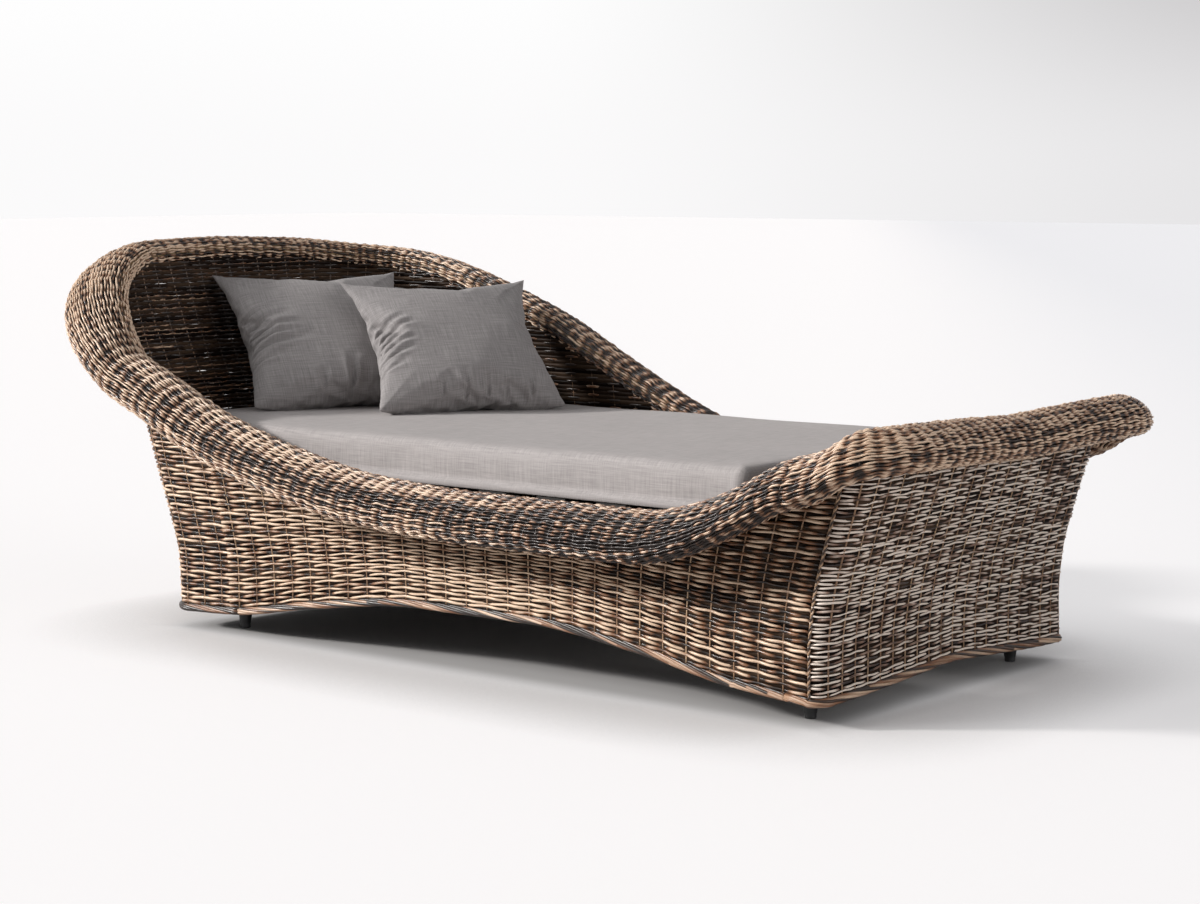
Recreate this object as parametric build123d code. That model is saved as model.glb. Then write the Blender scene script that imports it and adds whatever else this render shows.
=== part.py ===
from build123d import *
import os
from math import cos, hypot, radians, sin

# Rattan sun lounger, in millimetres. +X runs to the foot, +Z is up, and the sitter's right side is -Y.
# While it is built, x = 0 lies over the two foot-end legs. At the end it is centred on its own box.

# Legs and overhangs
leg_spacing_long = 1504
leg_spacing_across = 717
foot_overhang = 85
head_overhang = 146

# Basket: width, heights of the rolled rim, and how far each end leans out at the head roll's height
base_width = 884
waist_width = 870
head_height = 845
foot_height = 557
waist_height = 364
head_lean = 300
foot_lean = 216
head_corner_base = 50
head_corner_top = 235
foot_corner_base = 35
foot_corner_top = 60
wall_thickness = 10

# Rolled rim: a tilted oval, hollow, over a round pole
roll_reach = 75
roll_depth = 45
foot_roll_reach = 58
foot_roll_depth = 39
roll_tilt = 20
roll_seat = 12
roll_skin = 9
pole_radius = 13

# Hem along the bottom edge
hem_radius = 9
hem_clearance = 43
side_arch = 80
foot_arch = 26
head_arch = 15

# Joints between the four panels of the basket
head_seam = -1450
foot_seam = 30

# Frame under the deck
leg_tube_radius = 15
leg_tube_wall = 2
rail_radius = 12.5
rail_wall = 1.8
lower_rail_height = 160
end_rail_height = 120
tie_radius = 6
deck_rail_head_gap = 70
deck_rail_foot_gap = 30

# Deck slats
slat_count = 12
slat_width = 72
slat_thickness = 16
slat_end_gap = 14
slat_row_head_gap = 95
slat_row_foot_gap = 75
screw_head_radius = 4.5
screw_shank_radius = 2.2
screw_length = 24
screw_hole_gap = 0.25

# Feet
glide_radius = 11
glide_height = 10
glide_edge = 1.5
cup_low_radius = 12
cup_top_radius = 16
cup_height = 33
stud_radius = 4
stud_rise = 26
plug_length = 34
fit_gap = 0.2

# Mattress
mattress_height = 376
mattress_thickness = 84
mattress_width = 816
mattress_foot_gap = 250
mattress_head_gap = 20
mattress_corner = 92
mattress_foot_corner = 22
mattress_draw = 6
cover_thickness = 1.5
zip_length = 560
zip_width = 14
zip_depth = 1

# Scatter cushions
cushion_side = 436
cushion_thickness = 128
cushion_hollow = 15
cushion_lean = 50
front_cushion_yaw = 31
rear_cushion_yaw = 28
front_cushion_place = (-1182, 58)
rear_cushion_place = (-1490, -40)

# Gaps that soft pieces keep to what they lie on, and the rear cushion to the woven wall behind it
rest_gap = 0.3
wall_gap = 8
settle_steps = 5

# Tables: each first share is a place, each second share a size
lean_shares = (
    (0, 0), (0.18, 0.06), (0.28, 0.17), (0.39, 0.32), (0.52, 0.50), (0.66, 0.71), (0.83, 0.88), (1, 1))
foot_lean_shares = (
    (0, 0), (0.16, 0), (0.28, 0.05), (0.38, 0.155), (0.48, 0.28), (0.6, 0.43), (0.71, 0.6), (1, 1))
corner_shares = ((0, 0), (0.12, 0.03), (0.36, 0.16), (0.59, 0.37), (0.83, 0.70), (1, 1))
waist_shares = ((0, 0), (0.36, 1), (1, 1))

# Rim height round the plan. Places: 0 head middle, 1 to 2 head corner, 3 to 4 foot corner, 5 foot middle.
# The sitter's left side stays high for longer than the right side, as on the real lounger.
right_rise_shares = (
    (0, 1), (1, 0.985), (1.35, 0.885), (1.7, 0.68), (2, 0.49), (2.12, 0.28),
    (2.19, 0.185), (2.29, 0.088), (2.38, 0.03), (2.55, 0), (5, 0))
left_rise_shares = (
    (0, 1), (1, 0.985), (1.5, 0.95), (2, 0.905), (2.05, 0.868), (2.11, 0.8), (2.175, 0.71), (2.235, 0.62),
    (2.295, 0.5), (2.36, 0.37), (2.42, 0.255), (2.49, 0.145), (2.55, 0.07), (2.66, 0.015), (2.8, 0), (5, 0))
foot_rise_shares = (
    (0, 0), (2.79, 0), (2.863, 0.16), (2.927, 0.477), (2.965, 0.705), (3.3, 0.979), (4, 1), (5, 0.948))
side_arch_shares = (
    (2, 0), (2.09, 0.09), (2.24, 0.58), (2.42, 0.99), (2.6, 1), (2.76, 0.68), (2.9, 0.2), (3, 0.02))
foot_arch_shares = ((0, 0), (3, 0.05), (4, 0.2), (5, 1))
head_arch_shares = ((0, 1), (1, 0.1), (2, 0), (5, 0))

# Cushion sections from the seam out to the crown: height, width and hollow of the edges
cushion_shares = (
    (0, 1, 1), (0.2, 0.975, 0.85), (0.4, 0.93, 0.55), (0.6, 0.86, 0.2), (0.77, 0.77, -0.2),
    (0.9, 0.64, -0.6), (0.97, 0.48, -0.9), (1, 0.28, -0.9))
cushion_edge_share = 2

# Mattress sections from the deck up: height and how far the sides draw in
mattress_shares = ((0, 1), (0.15, 0.2), (0.35, 0), (0.6, 0), (0.82, 0.3), (0.94, 2), (1, 9))

# Sections before, round and past each foot corner
foot_side_shares = (0, 0.5)
foot_end_shares = (0, 0.25, 0.5, 0.75, 1, 1.5)
head_middle_share = 0.5
nearest_share = 1e-9

right, left = -1, 1
panel_stations = 13
corner_stations = 6
ring_levels = 17


def eased(table, place):
    """Monotone cubic through a table of (place, size) shares."""
    xs = [row[0] for row in table]
    ys = [row[1] for row in table]
    place = min(max(place, xs[0]), xs[-1])
    steps = [b - a for a, b in zip(xs, xs[1:])]
    slopes = [(b - a) / step for a, b, step in zip(ys, ys[1:], steps)]
    tangents = [slopes[0]]
    for before, after in zip(slopes, slopes[1:]):
        level = before * after <= 0
        tangents.append(0 if level else 2 * before * after / (before + after))
    tangents.append(slopes[-1])
    i = max(k for k in range(len(steps)) if xs[k] <= place)
    t = (place - xs[i]) / steps[i]
    rise = ys[i] + (ys[i + 1] - ys[i]) * t * t * (3 - 2 * t)
    bend = tangents[i] * t * (1 - t) ** 2 - tangents[i + 1] * t * t * (1 - t)
    return rise + bend * steps[i]


def plan(height):
    """Outer plan of the wall at a height: head x, foot x, half width, head and foot corner radii."""
    share = height / head_height
    head_x = -leg_spacing_long - head_overhang - head_lean * eased(lean_shares, share)
    foot_x = foot_overhang + foot_lean * eased(foot_lean_shares, share)
    half = (base_width + (waist_width - base_width) * eased(waist_shares, share)) / 2
    head_radius = head_corner_base + (head_corner_top - head_corner_base) * eased(corner_shares, share)
    foot_radius = foot_corner_base + (foot_corner_top - foot_corner_base) * share
    return head_x, foot_x, half, head_radius, foot_radius


def on_plan(height, tag, side):
    """Point and outward direction on the outer plan at a place tag from 0 to 5."""
    head_x, foot_x, half, head_radius, foot_radius = plan(height)
    start, end = head_x + head_radius, foot_x - foot_radius
    if tag <= 1:
        return head_x, side * (half - head_radius) * tag, -1, 0
    if tag < 2:
        turn = radians(180 - 90 * (tag - 1))
        nx, ny = cos(turn), sin(turn)
        return start + head_radius * nx, side * (half - head_radius + head_radius * ny), nx, side * ny
    if tag <= 3:
        return start + (tag - 2) * (end - start), side * half, 0, side
    if tag < 4:
        turn = radians(90 - 90 * (tag - 3))
        nx, ny = cos(turn), sin(turn)
        return end + foot_radius * nx, side * (half - foot_radius + foot_radius * ny), nx, side * ny
    return foot_x, side * (half - foot_radius) * (5 - tag), 1, 0


def rim_height(tag, side):
    """Height of the top of the rolled rim."""
    rise = right_rise_shares if side == right else left_rise_shares
    head_part = (head_height - waist_height) * eased(rise, tag)
    foot_part = (foot_height - waist_height) * eased(foot_rise_shares, tag)
    return waist_height + head_part + foot_part


def roll_axes(tag):
    """Half length and half depth of the oval, which is slimmer across the foot."""
    start, end = foot_rise_shares[3][0], (foot_rise_shares[5][0] + foot_rise_shares[6][0]) / 2
    share = min(max((tag - start) / (end - start), 0), 1)
    reach = roll_reach + (foot_roll_reach - roll_reach) * share
    return reach, roll_depth + (foot_roll_depth - roll_depth) * share


def rim_station(tag, side):
    """Upright plane across the rim, at the middle of the oval, with its two half axes."""
    reach, depth = roll_axes(tag)
    turn = radians(roll_tilt)
    rise = hypot(reach * sin(turn), depth * cos(turn))
    spread = hypot(reach * cos(turn), depth * sin(turn))
    height = rim_height(tag, side) - rise
    x, y, nx, ny = on_plan(height, tag, side)
    out = spread - roll_seat
    plane = Plane(origin=(x + nx * out, y + ny * out, height), x_dir=(nx, ny, 0), z_dir=(ny, -nx, 0))
    return plane, reach, depth


def hem_height(tag):
    """Height of the middle of the hem."""
    arch = 0
    if 2 < tag < 3:
        arch = side_arch * eased(side_arch_shares, tag)
    foot_part = foot_arch * eased(foot_arch_shares, tag)
    head_part = head_arch * eased(head_arch_shares, tag)
    return hem_clearance + hem_radius + arch + foot_part * (tag > 2.9) + head_part


def hem_plane(tag, side):
    """Upright plane across the hem, at the middle of the wall's thickness."""
    height = hem_height(tag)
    x, y, nx, ny = on_plan(height, tag, side)
    inset = wall_thickness / 2
    return Plane(origin=(x - nx * inset, y - ny * inset, height), x_dir=(nx, ny, 0), z_dir=(ny, -nx, 0))


def tag_at(x, side, station):
    """Place tag on a long side where a station's middle lies at x."""
    low, high = 2, 3
    while high - low > nearest_share:
        middle = (low + high) / 2
        if station(middle, side).origin.X < x:
            low = middle
        else:
            high = middle
    return low


def rim_plane(tag, side):
    return rim_station(tag, side)[0]


def spaced(first, last, count):
    return [first + (last - first) * i / (count - 1) for i in range(count)]


def panel_places(name, station):
    """Places of one panel's sections, in one turning direction round the basket."""
    right_head, right_foot = tag_at(head_seam, right, station), tag_at(foot_seam, right, station)
    left_head, left_foot = tag_at(head_seam, left, station), tag_at(foot_seam, left, station)
    if name == "right":
        return [(tag, right) for tag in spaced(right_foot, right_head, panel_stations)]
    if name == "left":
        return [(tag, left) for tag in spaced(left_head, left_foot, panel_stations)]
    corner = spaced(0, 1, corner_stations)
    if name == "head":
        half = [[(2 + (split - 2) * c, s) for c in spaced(1, 0, 3)] + [(2 - c, s) for c in corner[1:]]
                for s, split in ((right, right_head), (left, left_head))]
        return half[0] + [(head_middle_share, right), (0, left), (head_middle_share, left)] + half[1][::-1]
    half = [[(split + (3 - split) * c, s) for c in foot_side_shares] + [(3 + c, s) for c in foot_end_shares]
            for s, split in ((left, left_foot), (right, right_foot))]
    return half[0] + [(5, left)] + half[1][::-1]


def loft_round(name, station, outline):
    """Loft an outline through the stations of one panel."""
    wires = [outline(tag, side).face().outer_wire() for tag, side in panel_places(name, station)]
    return Solid.make_loft(wires, ruled=True)


def oval(inset):
    def outline(tag, side):
        plane, reach, depth = rim_station(tag, side)
        return plane * Rot(0, 0, -roll_tilt) * Ellipse(reach - inset, depth - inset)
    return outline


def pole_outline(tag, side):
    plane, reach, _ = rim_station(tag, side)
    back = reach - roll_skin - pole_radius - rest_gap
    return plane * Rot(0, 0, -roll_tilt) * Pos(-back, 0) * Circle(pole_radius)


def hem_outline(tag, side):
    return hem_plane(tag, side) * Circle(hem_radius)


def plan_wire(height, inset):
    """Rounded outline of the basket at a height, moved in by an inset."""
    head_x, foot_x, half, head_radius, foot_radius = plan(height)
    head_x, foot_x, half = head_x + inset, foot_x - inset, half - inset
    head_radius, foot_radius = head_radius - inset, foot_radius - inset
    start, end = head_x + head_radius, foot_x - foot_radius
    foot_y, head_y = half - foot_radius, half - head_radius
    edges = [
        Line((start, -half), (end, -half)),
        CenterArc((end, -foot_y), foot_radius, -90, 90),
        Line((foot_x, -foot_y), (foot_x, foot_y)),
        CenterArc((end, foot_y), foot_radius, 0, 90),
        Line((end, half), (start, half)),
        CenterArc((start, head_y), head_radius, 90, 90),
        Line((head_x, head_y), (head_x, -head_y)),
        CenterArc((start, -head_y), head_radius, 180, 90),
    ]
    return Pos(0, 0, height) * Wire(edges)


def basket_solid(inset):
    """The basket's outer form as one solid, taller and deeper than the walls."""
    levels = spaced(hem_radius, head_height + roll_depth, ring_levels)
    return Solid.make_loft([plan_wire(level, inset) for level in levels])


def span_box(low, high):
    """Box between two corners."""
    size = [b - a for a, b in zip(low, high)]
    return Pos(*low) * Box(*size, align=(Align.MIN, Align.MIN, Align.MIN))


def upright_cone(low_radius, top_radius, height):
    """Cone that stands on its lower face."""
    return Cone(low_radius, top_radius, height, align=(Align.CENTER, Align.CENTER, Align.MIN))


def tube_between(start, end, radius, bore=0):
    """Round tube or rod between two points."""
    axis = Vector(*end) - Vector(*start)
    tube = Plane(origin=start, z_dir=axis) * extrude(Circle(radius), axis.length)
    if bore:
        tube -= Plane(origin=start, z_dir=axis) * extrude(Circle(bore), axis.length)
    return tube


def cut_at(shape, index):
    """One of the pieces that a cut leaves, counted from the floor up."""
    return shape.solids().sort_by(Axis.Z)[index]


def make_basket():
    """Walls, hems, rolled rim and rim poles, one of each for each side of the basket."""
    shell = basket_solid(0) - basket_solid(wall_thickness)
    reach = 2 * leg_spacing_long
    regions = {
        "right": span_box((head_seam, -reach, -reach), (foot_seam, 0, reach)),
        "left": span_box((head_seam, 0, -reach), (foot_seam, reach, reach)),
        "head": span_box((-reach, -reach, -reach), (head_seam, reach, reach)),
        "foot": span_box((foot_seam, -reach, -reach), (reach, reach, reach)),
    }
    pieces = {}
    for name, region in regions.items():
        roll = loft_round(name, rim_plane, oval(0))
        hem = loft_round(name, hem_plane, hem_outline)
        pieces[f"wall_{name}"] = cut_at((shell & region) - roll - hem, 1)
        pieces[f"hem_{name}"] = hem
        pieces[f"rim_roll_{name}"] = roll - loft_round(name, rim_plane, oval(roll_skin))
        pieces[f"rim_pole_{name}"] = loft_round(name, rim_plane, pole_outline)
    return pieces


def frame_heights():
    """Heights of the mattress's seat, the slats' underside and the deck rails' middle."""
    slat_top = mattress_height - rest_gap
    slat_bottom = slat_top - slat_thickness
    return slat_top, slat_bottom, slat_bottom - rail_radius


def leg_places():
    return {
        f"{side_name}_{end_name}": (x, side * leg_spacing_across / 2)
        for side_name, side in (("right", right), ("left", left))
        for end_name, x in (("head", -leg_spacing_long), ("foot", 0))
    }


def make_legs():
    """Each leg: a tube that saddles the deck rail, a threaded plug, a tapered cup, a glide and its stud."""
    leg_bottom = glide_height + cup_height
    rail_height = frame_heights()[2]
    bore = leg_tube_radius - leg_tube_wall
    pieces = {}
    studs, plugs = [], []
    for name, (x, y) in leg_places().items():
        tube = tube_between((x, y, leg_bottom), (x, y, rail_height), leg_tube_radius, bore)
        tube -= tube_between((x - head_lean, y, rail_height), (x + head_lean, y, rail_height), rail_radius)
        stud_hole = Pos(x, y, 0) * extrude(Circle(stud_radius + fit_gap), leg_bottom + plug_length)
        plug = tube_between((x, y, leg_bottom), (x, y, leg_bottom + plug_length), bore - fit_gap)
        cup = Pos(x, y, glide_height) * upright_cone(cup_low_radius, cup_top_radius, cup_height)
        glide = tube_between((x, y, 0), (x, y, glide_height), glide_radius)
        glide = fillet(glide.edges().filter_by(GeomType.CIRCLE).group_by(Axis.Z)[0], glide_edge)
        seat = glide_height / 2
        glide -= tube_between((x, y, seat), (x, y, glide_height), stud_radius + fit_gap)
        pieces[f"leg_{name}"] = tube.solids()[0]
        plugs.append(plug - stud_hole)
        pieces[f"foot_cup_{name}"] = cup - stud_hole
        pieces[f"glide_{name}"] = glide
        studs.append(tube_between((x, y, seat), (x, y, leg_bottom + stud_rise), stud_radius))
    pieces["leg_plugs"] = Compound([plug.solids()[0] for plug in plugs])
    pieces["foot_studs"] = Compound(studs)
    return pieces


def coped(tube, cutters):
    """A tube with its ends shaped to the round tubes that it meets; the middle length is kept."""
    for cutter in cutters:
        tube -= cutter
    return tube.solids().sort_by(SortBy.VOLUME)[-1]


def make_frame():
    """Rails between the legs, rails under the deck, and ties out to the walls."""
    rail_height = frame_heights()[2]
    bore = rail_radius - rail_wall
    half = leg_spacing_across / 2
    legs = {
        name: tube_between((x, y, 0), (x, y, rail_height), leg_tube_radius)
        for name, (x, y) in leg_places().items()
    }
    head_x, foot_x = plan(rail_height)[:2]
    deck_start = head_x + wall_thickness + deck_rail_head_gap
    deck_end = foot_x - wall_thickness - deck_rail_foot_gap
    pieces = {}
    deck_solid = {}
    for name, side in (("right", right), ("left", left)):
        y = side * half
        low_ends = (-leg_spacing_long, y, lower_rail_height), (0, y, lower_rail_height)
        low = tube_between(*low_ends, rail_radius, bore)
        pieces[f"lower_rail_{name}"] = coped(low, [legs[f"{name}_head"], legs[f"{name}_foot"]])
        ends = (deck_start, y, rail_height), (deck_end, y, rail_height)
        deck_solid[name] = tube_between(*ends, rail_radius)
        pieces[f"deck_rail_{name}"] = tube_between(*ends, rail_radius, bore) - screw_holes(side)
    for name, low_x, deck_x in (
        ("head", -leg_spacing_long, deck_start + rail_radius), ("foot", 0, deck_end - rail_radius)):
        low = tube_between((low_x, -half, end_rail_height), (low_x, half, end_rail_height), rail_radius, bore)
        pieces[f"lower_rail_{name}"] = coped(low, [legs[f"right_{name}"], legs[f"left_{name}"]])
        deck = tube_between((deck_x, -half, rail_height), (deck_x, half, rail_height), rail_radius, bore)
        pieces[f"deck_rail_{name}"] = coped(deck, deck_solid.values())
    return pieces


def make_ties():
    """Short rods that hold each leg to the two walls beside it."""
    inside = basket_solid(wall_thickness)
    ties = []
    for name, (x, y) in leg_places().items():
        leg = tube_between((x, y, 0), (x, y, head_height), leg_tube_radius)
        out = base_width if y > 0 else -base_width
        along = -base_width if name.endswith("head") else base_width
        side_height = lower_rail_height + 2 * rail_radius
        end_height = side_height + 2 * leg_tube_radius
        ties.append((tube_between((x, y, side_height), (x, y + out, side_height), tie_radius) & inside) - leg)
        ties.append((tube_between((x, y, end_height), (x + along, y, end_height), tie_radius) & inside) - leg)
    return Compound([tie.solids()[0] for tie in ties])


def slat_places():
    """Middle of each slat along the lounger."""
    head_x, foot_x = plan(mattress_height)[:2]
    first = head_x + slat_row_head_gap + slat_width / 2
    last = foot_x - slat_row_foot_gap - slat_width / 2
    return spaced(first, last, slat_count)


def screw_holes(side):
    """Clearance holes for the slat screws along one deck rail."""
    y = side * leg_spacing_across / 2
    bottom = frame_heights()[0] - screw_length - screw_hole_gap
    drill = extrude(Circle(screw_shank_radius + screw_hole_gap), screw_length)
    return [Pos(x, y, bottom) * drill for x in slat_places()]


def make_deck():
    """Slats across the deck rails, and their countersunk screws."""
    slat_top, slat_bottom, _ = frame_heights()
    reach = plan(mattress_height)[2] - wall_thickness - slat_end_gap
    head_depth = screw_head_radius - screw_shank_radius
    pieces = {}
    screws = []
    for i, x in enumerate(slat_places()):
        slat = span_box((x - slat_width / 2, -reach, slat_bottom), (x + slat_width / 2, reach, slat_top))
        for side in (right, left):
            y = side * leg_spacing_across / 2
            base = Pos(x, y, slat_top - screw_length)
            top = Pos(x, y, slat_top - head_depth)
            shank = base * extrude(Circle(screw_shank_radius), screw_length - head_depth)
            head = top * upright_cone(screw_shank_radius, screw_head_radius, head_depth)
            screws.append(shank + head)
            wide = screw_hole_gap
            hole = base * extrude(Circle(screw_shank_radius + wide), screw_length)
            sink = top * upright_cone(screw_shank_radius + wide, screw_head_radius + wide, head_depth)
            slat = slat - hole - sink
        pieces[f"slat_{i + 1:02d}"] = slat
    pieces["slat_screws"] = Compound([screw.solids()[0] for screw in screws])
    return pieces


def mattress_wire(height, inset):
    """Plan outline of the mattress, rounded to follow the basket at the head."""
    head_x, foot_x = plan(mattress_height)[:2]
    start = head_x + wall_thickness + mattress_head_gap + inset
    end = foot_x - mattress_foot_gap - inset
    half = mattress_width / 2 - inset
    head_round, foot_round = mattress_corner - inset, mattress_foot_corner + mattress_draw
    head_y, foot_y = half - head_round, half - foot_round
    edges = [
        Line((start + head_round, -half), (end - foot_round, -half)),
        CenterArc((end - foot_round, -foot_y), foot_round, -90, 90),
        Line((end, -foot_y), (end, foot_y)),
        CenterArc((end - foot_round, foot_y), foot_round, 0, 90),
        Line((end - foot_round, half), (start + head_round, half)),
        CenterArc((start + head_round, head_y), head_round, 90, 90),
        Line((start, head_y), (start, -head_y)),
        CenterArc((start + head_round, -head_y), head_round, 180, 90),
    ]
    return Pos(0, 0, mattress_height + height) * Wire(edges)


def mattress_form(skin):
    """Boxed mattress with sides drawn in at both edges and a crowned top, made smaller by a skin."""
    inner = mattress_thickness - 2 * skin
    levels = [(skin + inner * height, skin + mattress_draw * draw) for height, draw in mattress_shares]
    return Solid.make_loft([mattress_wire(*level) for level in levels], ruled=True)


def make_mattress():
    """Foam core in a thin cover, with a zip tape let into the cover at the head end."""
    outside = mattress_form(0)
    start = outside.bounding_box().min.X
    middle = mattress_height + mattress_thickness / 2
    pocket = span_box(
        (start - zip_depth, -zip_length / 2, middle - zip_width / 2),
        (start + zip_depth, zip_length / 2, middle + zip_width / 2))
    return {
        "mattress_cover": outside - mattress_form(cover_thickness) - pocket,
        "mattress_core": mattress_form(cover_thickness + rest_gap),
        "mattress_zip": outside & pocket,
    }


def cushion_form(skin):
    """Square cushion: pointed corners, drawn-in edges and a crown on both faces, made smaller by a skin."""
    levels = [(-t, size, hollow) for t, size, hollow in cushion_shares[:0:-1]] + list(cushion_shares)
    wires = []
    for t, size, hollow in levels:
        corner = cushion_side * size / 2 - skin * cushion_edge_share
        middle = corner - cushion_hollow * hollow
        height = t * (cushion_thickness / 2 - skin)
        edges = [
            ThreePointArc((-corner, -corner), (0, -middle), (corner, -corner)),
            ThreePointArc((corner, -corner), (middle, 0), (corner, corner)),
            ThreePointArc((corner, corner), (0, middle), (-corner, corner)),
            ThreePointArc((-corner, corner), (-middle, 0), (-corner, -corner)),
        ]
        wires.append(Pos(0, 0, height) * Wire(edges))
    return Solid.make_loft(wires, ruled=True)


def cushion_plane(place, yaw):
    """Plane of a leaning cushion: X along its lower edge, Z out of its face."""
    turn, lean = radians(yaw), radians(cushion_lean)
    along = Vector(sin(turn), cos(turn), 0)
    face = Vector(cos(turn) * cos(lean), -sin(turn) * cos(lean), sin(lean))
    up = face.cross(along)
    middle = Vector(*place, mattress_height + mattress_thickness) + up * (cushion_side / 2)
    return Plane(origin=middle, x_dir=along, z_dir=face)


def settle(shapes, carriers, direction, clearance):
    """Slide shapes along a direction until the first lies a clearance from the nearest carrier."""
    for _ in range(settle_steps):
        gap = min(shapes[0].distance_to(carrier) for carrier in carriers) - clearance
        shapes = [Pos(*(direction * gap)) * shape for shape in shapes]
    return shapes


def make_cushion(place, yaw, carriers, clearance):
    """Cover and filling, leaning back on their carriers and standing on the mattress."""
    plane = cushion_plane(place, yaw)
    outside = cushion_form(0)
    shapes = [plane * form for form in (
        outside, outside - cushion_form(cover_thickness), cushion_form(cover_thickness + rest_gap))]
    lift = mattress_height + mattress_thickness + rest_gap - shapes[0].bounding_box().min.Z
    shapes = [Pos(0, 0, lift) * shape for shape in shapes]
    back = Vector(-plane.z_dir.X, -plane.z_dir.Y, 0).normalized()
    return settle(shapes, carriers, back, clearance)


def make_part():
    basket = make_basket()
    pieces = {**basket, **make_legs(), **make_frame(), **make_deck(), **make_mattress()}
    pieces["wall_ties"] = make_ties()
    behind = [basket["wall_head"], basket["rim_roll_head"]]
    rear = make_cushion(rear_cushion_place, rear_cushion_yaw, behind, wall_gap)
    front = make_cushion(front_cushion_place, front_cushion_yaw, [rear[0]], rest_gap)
    pieces["rear_cushion_cover"], pieces["rear_cushion_filling"] = rear[1:]
    pieces["front_cushion_cover"], pieces["front_cushion_filling"] = front[1:]
    return pieces


def main():
    os.makedirs("parts", exist_ok=True)
    pieces = make_part()
    rolls = [pieces[f"rim_roll_{name}"].bounding_box() for name in ("head", "foot")]
    shift = -(rolls[0].min.X + rolls[1].max.X) / 2
    width = [pieces[f"rim_roll_{name}"].bounding_box() for name in ("right", "left")]
    centre = -(width[0].min.Y + width[1].max.Y) / 2
    for name, piece in pieces.items():
        export_step(Pos(shift, centre, 0) * piece, f"parts/{name}.step")
    print("nodes", len(pieces), "shift", round(shift, 3), round(centre, 3))


main()
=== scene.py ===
"""Woven sun lounger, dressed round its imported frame. Lengths are metres: +X runs to the foot, +Z is up."""

import bpy
import numpy as np
from mathutils import Matrix, Vector


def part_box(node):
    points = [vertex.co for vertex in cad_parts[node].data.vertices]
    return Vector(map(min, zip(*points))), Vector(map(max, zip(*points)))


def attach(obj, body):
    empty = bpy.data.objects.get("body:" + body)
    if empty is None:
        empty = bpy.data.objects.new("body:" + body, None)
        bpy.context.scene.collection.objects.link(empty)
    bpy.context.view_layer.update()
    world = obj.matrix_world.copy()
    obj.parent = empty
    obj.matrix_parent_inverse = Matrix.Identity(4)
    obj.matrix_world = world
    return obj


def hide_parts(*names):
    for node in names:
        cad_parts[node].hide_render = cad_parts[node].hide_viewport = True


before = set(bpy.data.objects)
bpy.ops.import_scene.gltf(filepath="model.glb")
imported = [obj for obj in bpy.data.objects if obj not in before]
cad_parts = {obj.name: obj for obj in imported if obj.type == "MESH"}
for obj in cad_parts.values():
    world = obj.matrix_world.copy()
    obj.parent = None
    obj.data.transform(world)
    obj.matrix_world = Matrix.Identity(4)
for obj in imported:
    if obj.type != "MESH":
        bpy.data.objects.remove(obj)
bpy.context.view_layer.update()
rng = np.random.default_rng(7)

# the lounger's plan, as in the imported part
leg_x = 0.894623
leg_spacing = 1.504
foot_overhang, head_overhang = 0.085, 0.146
base_width, waist_width = 0.884, 0.870
head_height, foot_height, waist_height = 0.845, 0.557, 0.364
head_lean, foot_lean = 0.300, 0.216
head_corner = (0.050, 0.235)
foot_corner = (0.035, 0.060)
wall_thickness = 0.010
roll_reach, roll_depth = 0.075, 0.045
foot_roll_reach, foot_roll_depth = 0.058, 0.039
roll_tilt = np.radians(20)
roll_seat = 0.012
hem_low = 0.052
side_arch, foot_arch, head_arch = 0.080, 0.026, 0.015

lean_table = ((0, 0), (0.18, 0.06), (0.28, 0.17), (0.39, 0.32), (0.52, 0.50), (0.66, 0.71), (0.83, 0.88), (1, 1))
foot_lean_table = ((0, 0), (0.16, 0), (0.28, 0.05), (0.38, 0.155), (0.48, 0.28), (0.6, 0.43), (0.71, 0.6), (1, 1))
corner_table = ((0, 0), (0.12, 0.03), (0.36, 0.16), (0.59, 0.37), (0.83, 0.70), (1, 1))
waist_table = ((0, 0), (0.36, 1), (1, 1))
right_rise_table = (
    (0, 1), (1, 0.985), (1.35, 0.885), (1.7, 0.68), (2, 0.49), (2.12, 0.28),
    (2.19, 0.185), (2.29, 0.088), (2.38, 0.03), (2.55, 0), (5, 0))
left_rise_table = (
    (0, 1), (1, 0.985), (1.5, 0.95), (2, 0.905), (2.05, 0.868), (2.11, 0.8), (2.175, 0.71), (2.235, 0.62),
    (2.295, 0.5), (2.36, 0.37), (2.42, 0.255), (2.49, 0.145), (2.55, 0.07), (2.66, 0.015), (2.8, 0), (5, 0))
foot_rise_table = (
    (0, 0), (2.79, 0), (2.863, 0.16), (2.927, 0.477), (2.965, 0.705), (3.3, 0.979), (4, 1), (5, 0.948))
side_arch_table = ((2, 0), (2.09, 0.09), (2.24, 0.58), (2.42, 0.99), (2.6, 1), (2.76, 0.68), (2.9, 0.2), (3, 0.02))
foot_arch_table = ((0, 0), (3, 0.05), (4, 0.2), (5, 1))
head_arch_table = ((0, 1), (1, 0.1), (2, 0), (5, 0))


def eased(table, place):
    """Monotone cubic through (place, size) pairs: each span rises by 3t^2 - 2t^3, plus end slopes that are
    the harmonic mean of the straight slopes on either side."""
    xs, ys = np.array(table, float).T
    place = np.clip(place, xs[0], xs[-1])
    step = np.diff(xs)
    slope = np.diff(ys) / step
    before, after = slope[:-1], slope[1:]
    both = before * after > 0
    inner = np.where(both, 2 * before * after / np.where(both, before + after, 1), 0)
    ends = np.concatenate([slope[:1], inner, slope[-1:]])
    i = np.clip(np.searchsorted(xs, place, side="right") - 1, 0, len(step) - 1)
    t = (place - xs[i]) / step[i]
    rise = ys[i] + np.diff(ys)[i] * t * t * (3 - 2 * t)
    return rise + (ends[i] * t * (1 - t) ** 2 - ends[i + 1] * t * t * (1 - t)) * step[i]


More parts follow.
